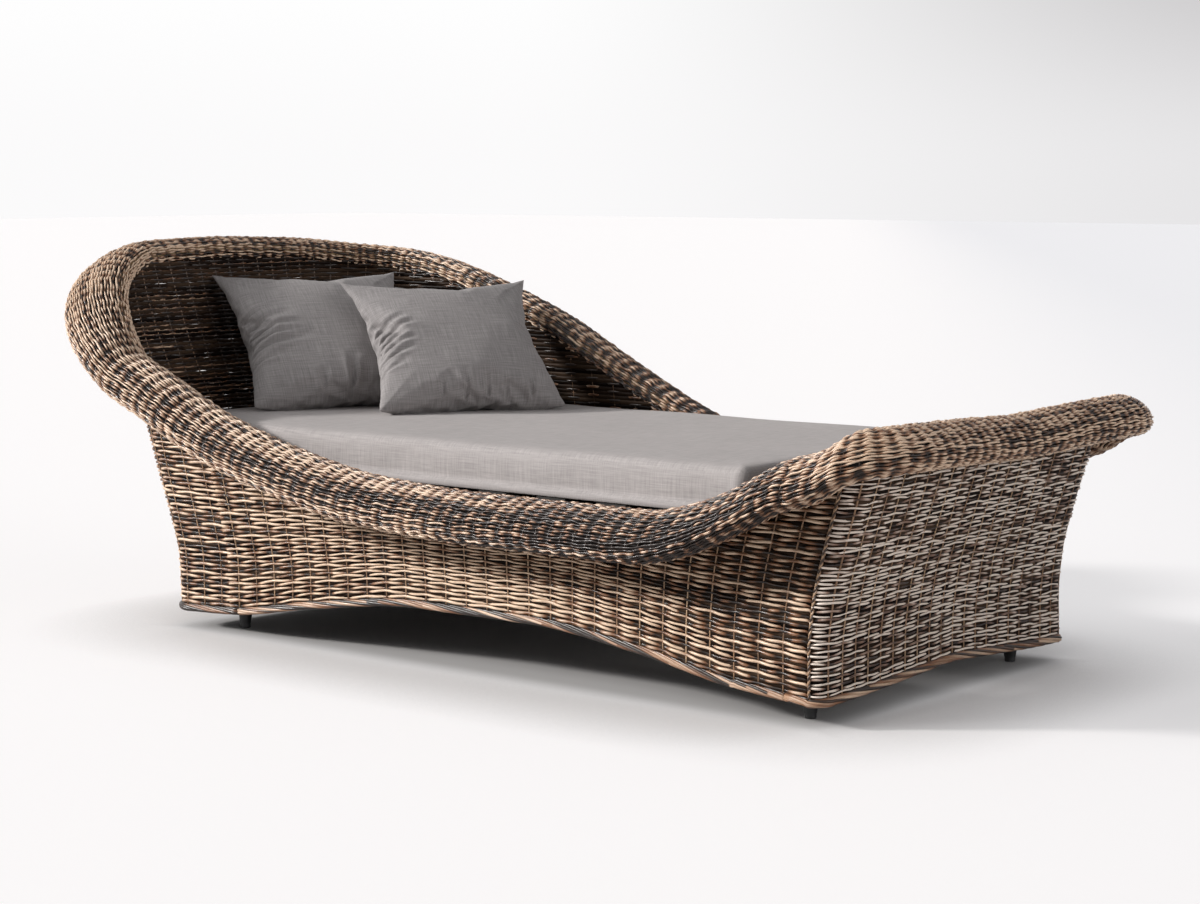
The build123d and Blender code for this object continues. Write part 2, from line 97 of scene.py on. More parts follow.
def plan(height):
    """Outer plan of the wall at a height: head x, foot x, half width, head and foot corner radii."""
    share = np.asarray(height) / head_height
    head_x = leg_x - leg_spacing - head_overhang - head_lean * eased(lean_table, share)
    foot_x = leg_x + foot_overhang + foot_lean * eased(foot_lean_table, share)
    half = (base_width + (waist_width - base_width) * eased(waist_table, share)) / 2
    head_round = head_corner[0] + (head_corner[1] - head_corner[0]) * eased(corner_table, share)
    foot_round = foot_corner[0] + (foot_corner[1] - foot_corner[0]) * share
    return head_x, foot_x, half, head_round, foot_round


def on_plan(height, lap):
    """Point (x, y) and outward direction (nx, ny) on the plan. lap runs from -5, the foot's middle, by the
    right side, through 0, the head's middle, to 5. Corners are quarter circles: radius times (cos, sin)."""
    head_x, foot_x, half, head_round, foot_round = plan(height)
    side, tag = np.where(lap < 0, -1.0, 1.0), np.abs(lap)
    start, end = head_x + head_round, foot_x - foot_round
    head_turn = np.pi - np.pi / 2 * np.clip(tag - 1, 0, 1)
    foot_turn = np.pi / 2 - np.pi / 2 * np.clip(tag - 3, 0, 1)
    x = start + (end - start) * np.clip(tag - 2, 0, 1)
    x = x + head_round * np.cos(head_turn) + foot_round * np.cos(foot_turn)
    at_head = tag < 2.5
    head_y = (half - head_round) * np.clip(tag, 0, 1) + head_round * np.sin(head_turn)
    foot_y = (half - foot_round) * np.clip(5 - tag, 0, 1) + foot_round * np.sin(foot_turn)
    nx = np.where(at_head, np.cos(head_turn), np.cos(foot_turn))
    ny = np.where(at_head, np.sin(head_turn), np.sin(foot_turn))
    return x, side * np.where(at_head, head_y, foot_y), nx, side * ny


def on_wall(height, lap, off=-wall_thickness / 2):
    """Points on the wall, moved out from its outer face by off, and their outward directions."""
    x, y, nx, ny = on_plan(height, lap)
    middle = np.stack([x + nx * off, y + ny * off, height], -1)
    return middle, np.stack(np.broadcast_arrays(nx, ny, np.zeros_like(nx)), -1)


def rim_height(lap):
    """Height of the top of the rolled rim, which stays high for longer on the left."""
    tag = np.abs(lap)
    rise = np.where(lap < 0, eased(right_rise_table, tag), eased(left_rise_table, tag))
    foot = eased(foot_rise_table, tag)
    return waist_height + (head_height - waist_height) * rise + (foot_height - waist_height) * foot


def roll_axes(tag):
    """Half length and half depth of the roll's oval, slimmer across the foot."""
    slimming, slim = 2.863, 3.6325
    share = np.clip((tag - slimming) / (slim - slimming), 0, 1)
    reach = roll_reach + (foot_roll_reach - roll_reach) * share
    return reach, roll_depth + (foot_roll_depth - roll_depth) * share


def roll_middle(lap):
    """Height of the oval's middle, and how far outside the wall it lies."""
    reach, depth = roll_axes(np.abs(lap))
    rise = np.hypot(reach * np.sin(roll_tilt), depth * np.cos(roll_tilt))
    spread = np.hypot(reach * np.cos(roll_tilt), depth * np.sin(roll_tilt))
    return rim_height(lap) - rise, spread - roll_seat


def rim_point(lap, turn, skin=0.0):
    """Point on the roll: an upright oval, reach cos(turn) along an axis tilted down and out, depth sin(turn)
    square to it, both made smaller by skin."""
    reach, depth = roll_axes(np.abs(lap))
    height, out = roll_middle(lap)
    x, y, nx, ny = on_plan(height, lap)
    a, b = (reach - skin) * np.cos(turn), (depth - skin) * np.sin(turn)
    out = out + a * np.cos(roll_tilt) + b * np.sin(roll_tilt)
    up = b * np.cos(roll_tilt) - a * np.sin(roll_tilt)
    return np.stack(np.broadcast_arrays(x + nx * out, y + ny * out, height + up), -1)


def hem_rise(lap):
    """How far the bottom edge is arched up from its lowest height."""
    tag = np.abs(lap)
    side = np.where((tag > 2) & (tag < 3), side_arch * eased(side_arch_table, tag), 0)
    foot = foot_arch * eased(foot_arch_table, tag) * (tag > 2.9)
    return side + foot + head_arch * eased(head_arch_table, tag)


# stakes, counted from the head's middle
head_stakes, side_stakes, foot_stakes = 12, 30, 11
all_stakes = head_stakes + side_stakes + foot_stakes


def lap_of(height, stake):
    """Place on the plan of a stake number: even shares of the head half's length, of the side's straight
    and of the foot half's length, so that stakes fan out as the walls flare."""
    _, _, half, head_round, foot_round = plan(height)
    count, side = np.abs(stake), np.where(stake < 0, -1.0, 1.0)
    flat, arc = half - head_round, head_round * np.pi / 2
    far = np.clip(count / head_stakes, 0, 1) * (flat + arc)
    head = np.where(far < flat, far / flat, 1 + (far - flat) / arc)
    along = np.clip((count - head_stakes) / side_stakes, 0, 1)
    flat, arc = half - foot_round, foot_round * np.pi / 2
    far = np.clip((count - head_stakes - side_stakes) / foot_stakes, 0, 1) * (flat + arc)
    foot = np.where(far < arc, far / arc, 1 + (far - arc) / flat)
    return side * (head + along + foot)


# meshes
def unit(v):
    """Vectors brought to length one: each divided by its own length."""
    return v / np.maximum(np.linalg.norm(v, axis=-1, keepdims=True), 1e-12)


def build(name, points, loops, totals, values=None, uv=None, material=None):
    """Mesh from whole arrays: points, every face's corners in one row, and each face's corner count."""
    mesh = bpy.data.meshes.new(name)
    mesh.vertices.add(len(points))
    mesh.vertices.foreach_set("co", np.ascontiguousarray(points, np.float32).ravel())
    mesh.loops.add(len(loops))
    mesh.loops.foreach_set("vertex_index", np.ascontiguousarray(loops, np.int32))
    mesh.polygons.add(len(totals))
    starts = np.concatenate([[0], np.cumsum(totals)[:-1]]).astype(np.int32)
    mesh.polygons.foreach_set("loop_start", starts)
    mesh.polygons.foreach_set("loop_total", np.ascontiguousarray(totals, np.int32))
    mesh.update(calc_edges=True)
    mesh.polygons.foreach_set("use_smooth", np.ones(len(totals), bool))
    for key, data in (values or {}).items():
        kind = "FLOAT_VECTOR" if data.ndim == 2 else "FLOAT"
        field = mesh.attributes.new(key, kind, "POINT")
        field.data.foreach_set("vector" if data.ndim == 2 else "value", data.astype(np.float32).ravel())
    if uv is not None:
        mesh.uv_layers.new(name="UVMap").data.foreach_set("uv", uv.astype(np.float32).ravel())
    mesh.validate()
    piece = bpy.data.objects.new(name, mesh)
    bpy.context.scene.collection.objects.link(piece)
    if material:
        mesh.materials.append(material)
    return piece


def drift(rows, w, size, pace=1.0):
    """Slow wobble for each strand: three sines of random pace and start, added up."""
    w = np.asarray(w)[None]
    out = 0
    for step in (0.31, 0.83, 1.9):
        speed = pace * step * rng.uniform(0.7, 1.3, (rows, 1))
        out = out + np.sin(w * speed + rng.uniform(0, 2 * np.pi, (rows, 1))) / (1 + step)
    return size * out


def strand_tones(rows, w, shortest=5, longest=18):
    """Each strand keeps one random tone for a random number of stakes, and then the next cane begins."""
    tones, before_first = 97, 200
    length = rng.uniform(shortest, longest, (rows, 1))
    run = w[None] + before_first + rng.uniform(0, longest, (rows, 1))
    count = np.floor(run / length).astype(int) % tones
    return np.take_along_axis(rng.random((rows, tones)), count, axis=1)


def strands(middle, out, width, depth, keep, sides=5):
    """Closed canes from arrays of rows and steps: round each middle point goes a ring of width cos(a) across
    and depth sin(a) outward. keep says which steps exist. Returns points, loops, totals and fields."""
    rows, steps = keep.shape
    along = unit(np.gradient(middle, axis=1))
    across = unit(np.cross(out, along))
    out = unit(np.cross(along, across))
    a = 2 * np.pi * (np.arange(sides) + 0.5) / sides
    ring = middle[:, :, None] + (width[..., None] * np.cos(a))[..., None] * across[:, :, None]
    ring = ring + (depth[..., None] * np.sin(a))[..., None] * out[:, :, None]
    index = np.arange(rows * steps * sides).reshape(rows, steps, sides)
    pair = keep[:, :-1] & keep[:, 1:]
    r, n = np.nonzero(pair)
    low, high = index[r, n], index[r, n + 1]
    quads = np.stack([low, np.roll(low, -1, 1), np.roll(high, -1, 1), high], -1).reshape(-1, 4)
    edge = np.pad(pair, ((0, 0), (1, 1)))
    r0, n0 = np.nonzero(edge[:, 1:] & ~edge[:, :-1])
    r1, n1 = np.nonzero(edge[:, :-1] & ~edge[:, 1:])
    caps = np.concatenate([index[r0, n0][:, ::-1], index[r1, n1]])
    used = np.zeros(rows * steps * sides, bool)
    used[quads.ravel()] = True
    place = np.cumsum(used) - 1
    loops = np.concatenate([place[quads.ravel()], place[caps.ravel()]])
    totals = np.concatenate([np.full(len(quads), 4), np.full(len(caps), sides)])
    length = np.linalg.norm(np.diff(middle, axis=1), axis=2)
    run = np.concatenate([np.zeros((rows, 1)), np.cumsum(length, 1)], 1)
    shape = ring.shape[:3]
    fibre = np.stack([
        np.broadcast_to(run[..., None], shape),
        np.broadcast_to(np.cos(a) * 0.003, shape) + np.arange(rows)[:, None, None] * 0.037,
        np.broadcast_to(np.sin(a) * 0.003, shape)], -1)
    return ring.reshape(-1, 3)[used], loops, totals, used, fibre.reshape(-1, 3)[used], shape


def cane_piece(name, middle, out, width, depth, keep, tone, proud, material, sides=5, shade=0.0):
    """Canes with their fields; the side that faces in is darkened by shade, as painted shade for the lounger's
    shaded inside.
    """
    points, loops, totals, used, fibre, shape = strands(middle, out, width, depth, keep, sides)
    # painted shade on the side of each cane that faces in
    inward = shade * np.clip(-np.sin(2 * np.pi * (np.arange(sides) + 0.5) / sides), 0, 1)
    spread = [np.broadcast_to(v, shape).reshape(-1)[used] for v in (tone[..., None], proud[..., None] - inward)]
    return build(name, points, loops, totals, {"fibre": fibre, "tone": spread[0], "proud": spread[1]},
                 material=material)


def woven(piece, *nodes):
    """Woven work moves with the lounger and stands for the nodes it is given."""
    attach(piece, "lounger")
    if nodes:
        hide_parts(*nodes)


# materials
def node_group(name, inputs, outputs):
    """A shared effect: inputs are (label, kind, value) and outputs (label, kind)."""
    group = bpy.data.node_groups.new(name, "ShaderNodeTree")
    for label, kind, value in inputs:
        socket = group.interface.new_socket(label, in_out="INPUT", socket_type=kind)
        if value is not None:
            socket.default_value = value
    for label, kind in outputs:
        group.interface.new_socket(label, in_out="OUTPUT", socket_type=kind)
    return group, group.nodes.new("NodeGroupInput"), group.nodes.new("NodeGroupOutput")


def add(tree, kind, links=(), **settings):
    """A node with its settings and links: links is pairs of (input socket, value or output socket)."""
    node = tree.nodes.new(kind)
    for key, value in settings.items():
        setattr(node, key, value)
    for socket, value in links:
        if isinstance(value, bpy.types.NodeSocket):
            tree.links.new(value, node.inputs[socket])
        else:
            node.inputs[socket].default_value = value
    return node


def maths(tree, operation, *values, clamp=False):
    """One sum on values or sockets, in the order that the operation takes them."""
    return add(tree, "ShaderNodeMath", list(enumerate(values)), operation=operation, use_clamp=clamp).outputs[0]


def ramp(tree, value, low, high, start=0.0, end=1.0, kind="SMOOTHSTEP"):
    """Goes from start to end as a value climbs from low to high, by 3t^2 - 2t^3 or in a straight line."""
    return add(tree, "ShaderNodeMapRange", [
        ("Value", value), ("From Min", low), ("From Max", high), ("To Min", start), ("To Max", end)],
        interpolation_type=kind).outputs[0]


def blend_colour(tree, share, a, b, mode="MIX"):
    """Colour a turned into colour b by a share of it."""
    return add(tree, "ShaderNodeMix", [(0, share), (6, a), (7, b)], data_type="RGBA", blend_type=mode).outputs[2]


def stretched(tree, vector, scale, noise=1.0, detail=3.0, rough=0.6):
    """Noise on a scaled vector, drawn out along the way that has the smallest scale."""
    mapped = add(tree, "ShaderNodeMapping", [("Vector", vector), ("Scale", scale)])
    return add(tree, "ShaderNodeTexNoise", [
        ("Vector", mapped.outputs[0]), ("Scale", noise), ("Detail", detail), ("Roughness", rough)]).outputs[0]


def make_cane_group():
    """Cane finish from the strand's own fields: tone picks the cane, streaks run along it, proud parts are rubbed
    pale, and sunk parts and faces turned in are darkened as painted shade."""
    group, given, result = node_group(
        "cane_finish",
        [("Tone", "NodeSocketFloat", 0.5), ("Proud", "NodeSocketFloat", 0.5), ("Fibre", "NodeSocketVector", None),
         ("Dark", "NodeSocketColor", (0.05, 0.03, 0.02, 1)), ("Middle", "NodeSocketColor", (0.25, 0.15, 0.09, 1)),
         ("Pale", "NodeSocketColor", (0.6, 0.47, 0.33, 1)), ("Rubbing And Shade", "NodeSocketFloat", 0.5)],
        [("Color", "NodeSocketColor"), ("Roughness", "NodeSocketFloat"), ("Height", "NodeSocketFloat")])
    g = given.outputs
    place = add(group, "ShaderNodeTexCoord").outputs["Object"]
    streak = stretched(group, g["Fibre"], (14, 520, 520), detail=4)
    patch = add(group, "ShaderNodeTexNoise", [("Vector", place), ("Scale", 4.5), ("Detail", 3)]).outputs[0]
    fleck = stretched(group, g["Fibre"], (60, 900, 900), detail=2)
    level = maths(group, "MULTIPLY_ADD", g["Tone"], 0.85, -0.50)
    level = maths(group, "ADD", level, maths(group, "MULTIPLY", streak, 0.72))
    level = maths(group, "ADD", level, maths(group, "MULTIPLY", patch, 0.55))
    # proud parts rubbed pale; sunk parts and faces turned in darkened as painted shade
    rub_and_recess_shade = maths(group, "MULTIPLY", maths(group, "SUBTRACT", g["Proud"], 0.5), g["Rubbing And Shade"])
    level = maths(group, "ADD", level, rub_and_recess_shade, clamp=True)
    low = ramp(group, level, 0.16, 0.50)
    high = ramp(group, level, 0.48, 0.86, kind="LINEAR")
    colour = blend_colour(group, high, blend_colour(group, low, g["Dark"], g["Middle"]), g["Pale"])
    dark_fleck = ramp(group, fleck, 0.3, 0.45, start=0.55, kind="LINEAR")
    colour = blend_colour(group, 1.0, colour, dark_fleck, "MULTIPLY")
    group.links.new(colour, result.inputs["Color"])
    group.links.new(maths(group, "ADD", maths(group, "MULTIPLY", streak, -0.28), 0.48), result.inputs["Roughness"])
    group.links.new(maths(group, "ADD", streak, maths(group, "MULTIPLY", fleck, 0.4)), result.inputs["Height"])
    return group


def make_linen_group():
    """Linen from the piece's thread map: slubs run both ways and darken or lighten single threads."""
    group, given, result = node_group(
        "linen_threads",
        [("Threads", "NodeSocketVector", None), ("Color", "NodeSocketColor", (0.3, 0.3, 0.3, 1)),
         ("Contrast", "NodeSocketFloat", 0.4)],
        [("Color", "NodeSocketColor"), ("Roughness", "NodeSocketFloat"), ("Height", "NodeSocketFloat")])
    g = given.outputs
    warp = stretched(group, g["Threads"], (16, 430, 1), detail=3)
    weft = stretched(group, g["Threads"], (430, 16, 1), detail=3)
    fine = stretched(group, g["Threads"], (900, 900, 1), detail=1)
    cloudy = stretched(group, g["Threads"], (5, 5, 1), detail=2)
    both = maths(group, "ADD", warp, weft)
    level = maths(group, "MULTIPLY", maths(group, "SUBTRACT", both, 1.0), g["Contrast"])
    level = maths(group, "ADD", level, maths(group, "MULTIPLY", maths(group, "SUBTRACT", cloudy, 0.5), 0.12))
    level = maths(group, "ADD", level, maths(group, "MULTIPLY", maths(group, "SUBTRACT", fine, 0.5), 0.15))
    shade = maths(group, "ADD", level, 1.0)
    group.links.new(blend_colour(group, 1.0, g["Color"], shade, "MULTIPLY"), result.inputs["Color"])
    result.inputs["Roughness"].default_value = 0.9
    group.links.new(maths(group, "ADD", both, maths(group, "MULTIPLY", fine, 0.5)), result.inputs["Height"])
    return group


cane_group = make_cane_group()
linen_group = make_linen_group()


def new_material(name, roughness=0.5, metallic=0.0, **sockets):
    """A new material, its tree and its shader, whose sockets take the values given by name."""
    material = bpy.data.materials.new(name)
    material.use_nodes = True
    tree = material.node_tree
    shader = tree.nodes["Principled BSDF"]
    shader.inputs["Roughness"].default_value = roughness
    shader.inputs["Metallic"].default_value = metallic
    for key, value in sockets.items():
        shader.inputs[key.replace("_", " ")].default_value = value
    return material, tree, shader


def bump(tree, shader, height, distance, strength):
    """Fine relief: the height, in shares of a distance, tilts the shader's normal."""
    node = add(tree, "ShaderNodeBump", [("Height", height), ("Distance", distance), ("Strength", strength)])
    tree.links.new(node.outputs[0], shader.inputs["Normal"])


def cane_material(name, dark, middle, pale, rubbing_and_shade=0.5, gloss=0.5):
    """The shared cane finish in one set of colours, from the tone, proud and fibre fields of its piece."""
    material, tree, shader = new_material(name, Specular_IOR_Level=gloss)
    tone, proud, fibre = (
        add(tree, "ShaderNodeAttribute", attribute_name=field).outputs for field in ("tone", "proud", "fibre"))
    finish = add(tree, "ShaderNodeGroup", [
        ("Tone", tone["Fac"]), ("Proud", proud["Fac"]), ("Fibre", fibre["Vector"]), ("Dark", (*dark, 1)),
        ("Middle", (*middle, 1)), ("Pale", (*pale, 1)), ("Rubbing And Shade", rubbing_and_shade)], node_tree=cane_group)
    tree.links.new(finish.outputs["Color"], shader.inputs["Base Color"])
    tree.links.new(finish.outputs["Roughness"], shader.inputs["Roughness"])
    bump(tree, shader, finish.outputs["Height"], 0.0006, 0.5)
    return material


def linen_material(name, colour, contrast=0.4):
    """The shared linen threads in one colour, on the piece's own thread map."""
    material, tree, shader = new_material(name, roughness=0.95, Sheen_Weight=0.06, Specular_IOR_Level=0.3)
    threads = add(tree, "ShaderNodeUVMap", uv_map="UVMap").outputs[0]
    cloth = add(tree, "ShaderNodeGroup", [
        ("Threads", threads), ("Color", (*colour, 1)), ("Contrast", contrast)], node_tree=linen_group)
    tree.links.new(cloth.outputs["Color"], shader.inputs["Base Color"])
    bump(tree, shader, cloth.outputs["Height"], 0.0005, 0.35)
    return material


def plain_material(name, colour, roughness, metallic=0.0, grain=(60, 60, 60), depth=0.3):
    """A plain finish with faint mottling on Object coordinates."""
    material, tree, shader = new_material(name, roughness, metallic)
    place = add(tree, "ShaderNodeTexCoord").outputs["Object"]
    noise = stretched(tree, place, grain, detail=4)
    shade = maths(tree, "ADD", maths(tree, "MULTIPLY", noise, depth), 1 - depth / 2)
    tree.links.new(blend_colour(tree, 1.0, (*colour, 1), shade, "MULTIPLY"), shader.inputs["Base Color"])
    bump(tree, shader, noise, 0.0003, 0.2)
    return material


# canes: dark, middle and pale colour, rubbing with painted recess shade, and gloss for the flat ones
# # that must not mirror the studio
side_cane = cane_material("side_cane", (0.024, 0.014, 0.010), (0.26, 0.117, 0.056), (0.80, 0.59, 0.425), 1.0)
# foot canes get lighter colours as painted light, for the foot wall's dim lighting
foot_cane_painted_light = cane_material("foot_cane_painted_light", (0.030, 0.019, 0.016), (0.30, 0.172, 0.120), (0.97, 0.84, 0.74), 1.4)
rim_cane = cane_material("rim_cane", (0.020, 0.011, 0.008), (0.26, 0.122, 0.062), (0.80, 0.59, 0.43), 0.9)
stake_cane = cane_material("stake_cane", (0.05, 0.03, 0.02), (0.32, 0.18, 0.10), (0.62, 0.43, 0.27), 0.4)
# near-black canes behind the weave's gaps: painted shade
painted_shade_cane = cane_material(
    "painted_shade_cane", (0.008, 0.005, 0.004), (0.022, 0.013, 0.009), (0.06, 0.038, 0.025), 0.4, 0.03)
# near-black skin inside the roll: painted shade behind its canes
painted_shade_skin = plain_material("rim_lining", (0.012, 0.009, 0.008), 0.9)
pole = plain_material("cane_pole", (0.40, 0.27, 0.15), 0.6, grain=(8, 90, 90), depth=0.5)
steel = plain_material("frame_black", (0.018, 0.018, 0.019), 0.42)
# slats near black: painted shade for the dark gap under the mattress
wood = plain_material("slat_wood", (0.012, 0.009, 0.008), 0.7, grain=(60, 4, 60), depth=0.6)
zinc = plain_material("zinc", (0.55, 0.56, 0.57), 0.35, 1.0)
plastic = plain_material("foot_black", (0.012, 0.012, 0.013), 0.38)
zip_tape = plain_material("zip_tape", (0.12, 0.12, 0.12), 0.8)
mattress_linen = linen_material("mattress_linen", (0.40, 0.372, 0.366), 0.7)
cushion_linen = linen_material("cushion_linen", (0.290, 0.272, 0.270), 0.95)

# woven walls
side_pitch, foot_pitch = 0.0096, 0.0074
arch_reach = 0.2
weave_into_roll, rod_into_roll = 0.016, 0.012


def wall_rows(w, place, pitch, start):
    """Row numbers and level heights, the first at start pitches above the hem, with the share of the hem's
    arch that each row follows: a bell that dies out up the wall."""
    top = roll_middle(place(0.4, w))[0] + weave_into_roll
    r = np.arange(int((top.max() - hem_low) / pitch))[:, None]
    flat = hem_low + (r + start) * pitch
    return r, flat, np.exp(-((flat - hem_low) / arch_reach) ** 2)


def between(height, lap, into_roll=weave_into_roll):
    """True from the hem up to a little way into the roll."""
    return (height > hem_low + hem_rise(lap)) & (height < roll_middle(lap)[0] + into_roll)


def weave_wall(name, first, last, node, bulge, shade, per_stake=7):
    """Rows of cane round one wall. Depth at stake number w in row r is
    over cos(pi (w + r)) + bulge sin^2(pi w), so that a cane passes one stake outside and the next inside,
    and there it also leans up or down by sway against the rows beside it. Canes are paler at the middle of
    the sides and darker towards the foot."""
    over, sway = 0.0015, 0.0012
    half_wide, half_deep = 0.0030, 0.0024
    w = np.linspace(first, last, int(round((last - first) * per_stake)) + 1)
    r, flat, fade = wall_rows(w, lap_of, side_pitch, 0.6)
    rows = len(r)
    lap = lap_of(flat, w[None])
    height = flat + hem_rise(lap) * fade + drift(rows, w, 0.0006)
    weave = np.cos(np.pi * (w[None] + r + drift(rows, w, 0.10, 1.3)))
    squeeze = np.tanh(1.5 * weave) / np.tanh(1.5)
    height = height + sway * weave + drift(rows, w, 0.0007, 2.3)
    lap = lap_of(height, w[None])
    x = on_plan(height, lap)[0]
    depth = over * squeeze + bulge * np.sin(np.pi * w[None]) ** 2 * (1 + drift(rows, w, 0.18, 1.7))
    middle, out = on_wall(height, lap, depth - wall_thickness / 2)
    tight = 1 - np.clip(hem_rise(lap) * fade * 2 * (flat - hem_low) / 0.04, 0, 0.42)
    thick = (1 + drift(rows, w, 0.12)) * tight
    proud = np.clip(0.30 + depth / (2 * (over + bulge)) * 1.45, 0, 1)
    # painted light: lighter in the middle of the sides, where the rim's overhang shades the wall; darker towards the
    # foot
    paler = 0.38 * np.exp(-((x - 0.1) / 0.35) ** 2) - 0.10 * np.clip((x - 0.35) / 0.5, 0, 1)
    tone = strand_tones(rows, w, 3, 12) - 0.06 + paler
    woven(cane_piece(name, middle, out, half_wide * thick, half_deep * np.ones_like(thick), between(height, lap),
                     tone, proud, side_cane, shade=shade), node)


def fill_wall(name, first, last, pitch, place, node, cover=0.76):
    """Flat inner canes at the wall's mid-plane, one behind every gap between two rows of the weave, near black as
    painted shade in the gaps. Four corners at 45 degrees make each 2 cos(45 degrees) times cover times the
    pitch high."""
    w = np.linspace(first, last, int(round((last - first) * 3)) + 1)
    r, flat, fade = wall_rows(w, place, pitch, 0.1)
    height = flat + hem_rise(place(flat, w[None])) * fade
    lap = place(height, w[None])
    middle, out = on_wall(height, lap, -wall_thickness / 2 + drift(len(r), w, 0.0003))
    flatness = np.ones(height.shape)
    woven(cane_piece(name, middle, out, cover * pitch * flatness, 0.0012 * flatness,
                     between(height, lap, rod_into_roll), strand_tones(len(r), w), 0.4 * flatness,
                     painted_shade_cane, 4), node)


side_end = head_stakes + side_stakes
seam = head_stakes + 3
seam_lap = 0.5
# shade: painted shade on the inward side of the wall canes
for label, start, end in (("right", -side_end, seam_lap - seam), ("left", seam - seam_lap, side_end)):
    fill_wall(f"wall_{label}_fill", start, end, side_pitch, lap_of, f"wall_{label}")
    weave_wall(f"wall_{label}_weave", start, end, f"wall_{label}", bulge=0.0042, shade=0.3)
fill_wall("wall_head_fill", -seam, seam, side_pitch, lap_of, "wall_head", 0.64)
weave_wall("wall_head_weave", -seam, seam, "wall_head", bulge=0.0028, shade=0.55, per_stake=6)


def foot_lap(height, w):
    """Place on the plan across the foot, where stake numbers run on past its middle to the other side."""
    return lap_of(height, np.where(w < all_stakes, -w, 2 * all_stakes - w))


def weave_foot():
    """The foot wall: finer rows, in a plain weave, whose tones an S-curve, 3t^2 - 2t^3, drives apart."""
    over, bulge, half_cane = 0.0018, 0.0024, 0.0022
    w = np.linspace(side_end, 2 * all_stakes - side_end, 2 * foot_stakes * 7 + 1)
    r, flat, fade = wall_rows(w, foot_lap, foot_pitch, 0.6)
    rows = len(r)
    weave = np.cos(np.pi * (w[None] + r + drift(rows, w, 0.34, 1.5)))
    height = flat + hem_rise(foot_lap(flat, w[None])) * fade + drift(rows, w, 0.0009, 1.6) + 0.0013 * weave
    lap = foot_lap(height, w[None])
    depth = over * np.tanh(1.4 * weave) + bulge * np.sin(np.pi * w[None]) ** 2 + drift(rows, w, 0.0006, 2)
    middle, out = on_wall(height, lap, depth - wall_thickness / 2)
    thick = half_cane * (1 + drift(rows, w, 0.14))
    proud = np.clip(0.5 + depth / 0.0075, 0, 1)
    tone = strand_tones(rows, w, 1.2, 6)
    tone = -0.10 + 1.18 * tone ** 2 * (3 - 2 * tone)
    woven(cane_piece("wall_foot_weave", middle, out, thick, half_cane * np.ones_like(thick),
                     between(height, lap), tone, proud, foot_cane_painted_light), "wall_foot")


weave_foot()
fill_wall("wall_foot_fill", side_end, 2 * all_stakes - side_end, foot_pitch, foot_lap, "wall_foot")


def make_stakes():
    """Thin upright canes through all four walls, from the hem into the roll."""
    number = np.arange(-all_stakes, all_stakes).astype(float)[:, None]
    share = np.linspace(0, 1, 26)[None]
    low = hem_low + hem_rise(lap_of(hem_low, number))
    lap = lap_of(0.4, number)
    for _ in range(2):
        high = roll_middle(lap[:, -1:])[0] + rod_into_roll
        height = low + (high - low) * share
        lap = lap_of(height, number)
    middle, out = on_wall(height, lap, -wall_thickness / 2 + 0.0007)
    size = np.full(height.shape, 0.0018)
    tone = np.repeat(rng.uniform(0.3, 0.7, (len(number), 1)), share.size, 1)
    # shade 0.9: painted shade on the stakes' inward side
    woven(cane_piece("wall_stakes", middle, out, size, size, np.ones(height.shape, bool), tone,
                     np.full(height.shape, 0.5), stake_cane, 6, 0.9))


make_stakes()

# rolled rim
ring_gap = 0.031
rim_strands = 56
grid_turns = 72
rim_step = 0.004
rim_blur = 0.017
waist_lift = 0.009
head_cut, foot_cut = 2.10, 2.97


def make_rim_grid():
    """The roll as a closed grid of points, evenly spaced along the rim, a little higher at the waist than
    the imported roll. Each line along it is smoothed by a bell so that the canes flow through the corners."""
    dense = np.linspace(-5, 5, 4001)
    line = rim_point(dense, np.full(dense.shape, np.pi / 3))
    run = np.concatenate([[0], np.cumsum(np.linalg.norm(np.diff(line, axis=0), axis=1))])
    count = int(run[-1] / rim_step)
    lap = np.interp(np.arange(count) / count * run[-1], run, dense)
    turn = np.linspace(0, 2 * np.pi, 721)
    step = np.hypot(roll_reach * np.diff(np.cos(turn)), roll_depth * np.diff(np.sin(turn)))
    round_run = np.concatenate([[0], np.cumsum(step)])
    turn = np.interp(np.arange(grid_turns) / grid_turns * round_run[-1], round_run, turn)
    points = rim_point(lap[:, None], turn[None])
    points[..., 2] += waist_lift * np.clip(1 - (rim_height(lap) - waist_height) / 0.12, 0, 1)[:, None]
    smooth = points.copy()
    for axes, blur in ((slice(0, 2), rim_blur), (slice(2, 3), 2 * rim_blur)):
        reach = int(3 * blur / rim_step)
        bell = np.exp(-0.5 * (np.arange(-reach, reach + 1) * rim_step / blur) ** 2)
        smooth[..., axes] = sum(share * np.roll(points[..., axes], shift, 0) for share, shift in zip(
            bell / bell.sum(), range(-reach, reach + 1)))
    along = np.roll(smooth, -1, 0) - np.roll(smooth, 1, 0)
    around = np.roll(smooth, -1, 1) - np.roll(smooth, 1, 1)
    return smooth, unit(np.cross(around, along)), unit(around), lap, run[-1]


rim_grid, rim_out, rim_around, rim_laps, rim_length = make_rim_grid()
ring_total = int(round(rim_length / ring_gap / 2)) * 2


def on_roll(ring, turn):
    """Point, outward direction and direction round the roll at a ring number and a turn from 0 to 1, by
    straight blending between the four grid points about it."""
    count = len(rim_grid)
    i, j = ring / ring_total * count, turn * grid_turns
    i0, j0 = np.floor(i).astype(int), np.floor(j).astype(int)
    fi, fj = (i - i0)[..., None], (j - j0)[..., None]
    found = []
    for grid in (rim_grid, rim_out, rim_around):
        rows = [grid[(i0 + a) % count, (j0 + b) % grid_turns] for a in (0, 1) for b in (0, 1)]
        found.append((rows[0] * (1 - fj) + rows[1] * fj) * (1 - fi) + (rows[2] * (1 - fj) + rows[3] * fj) * fi)
    return found


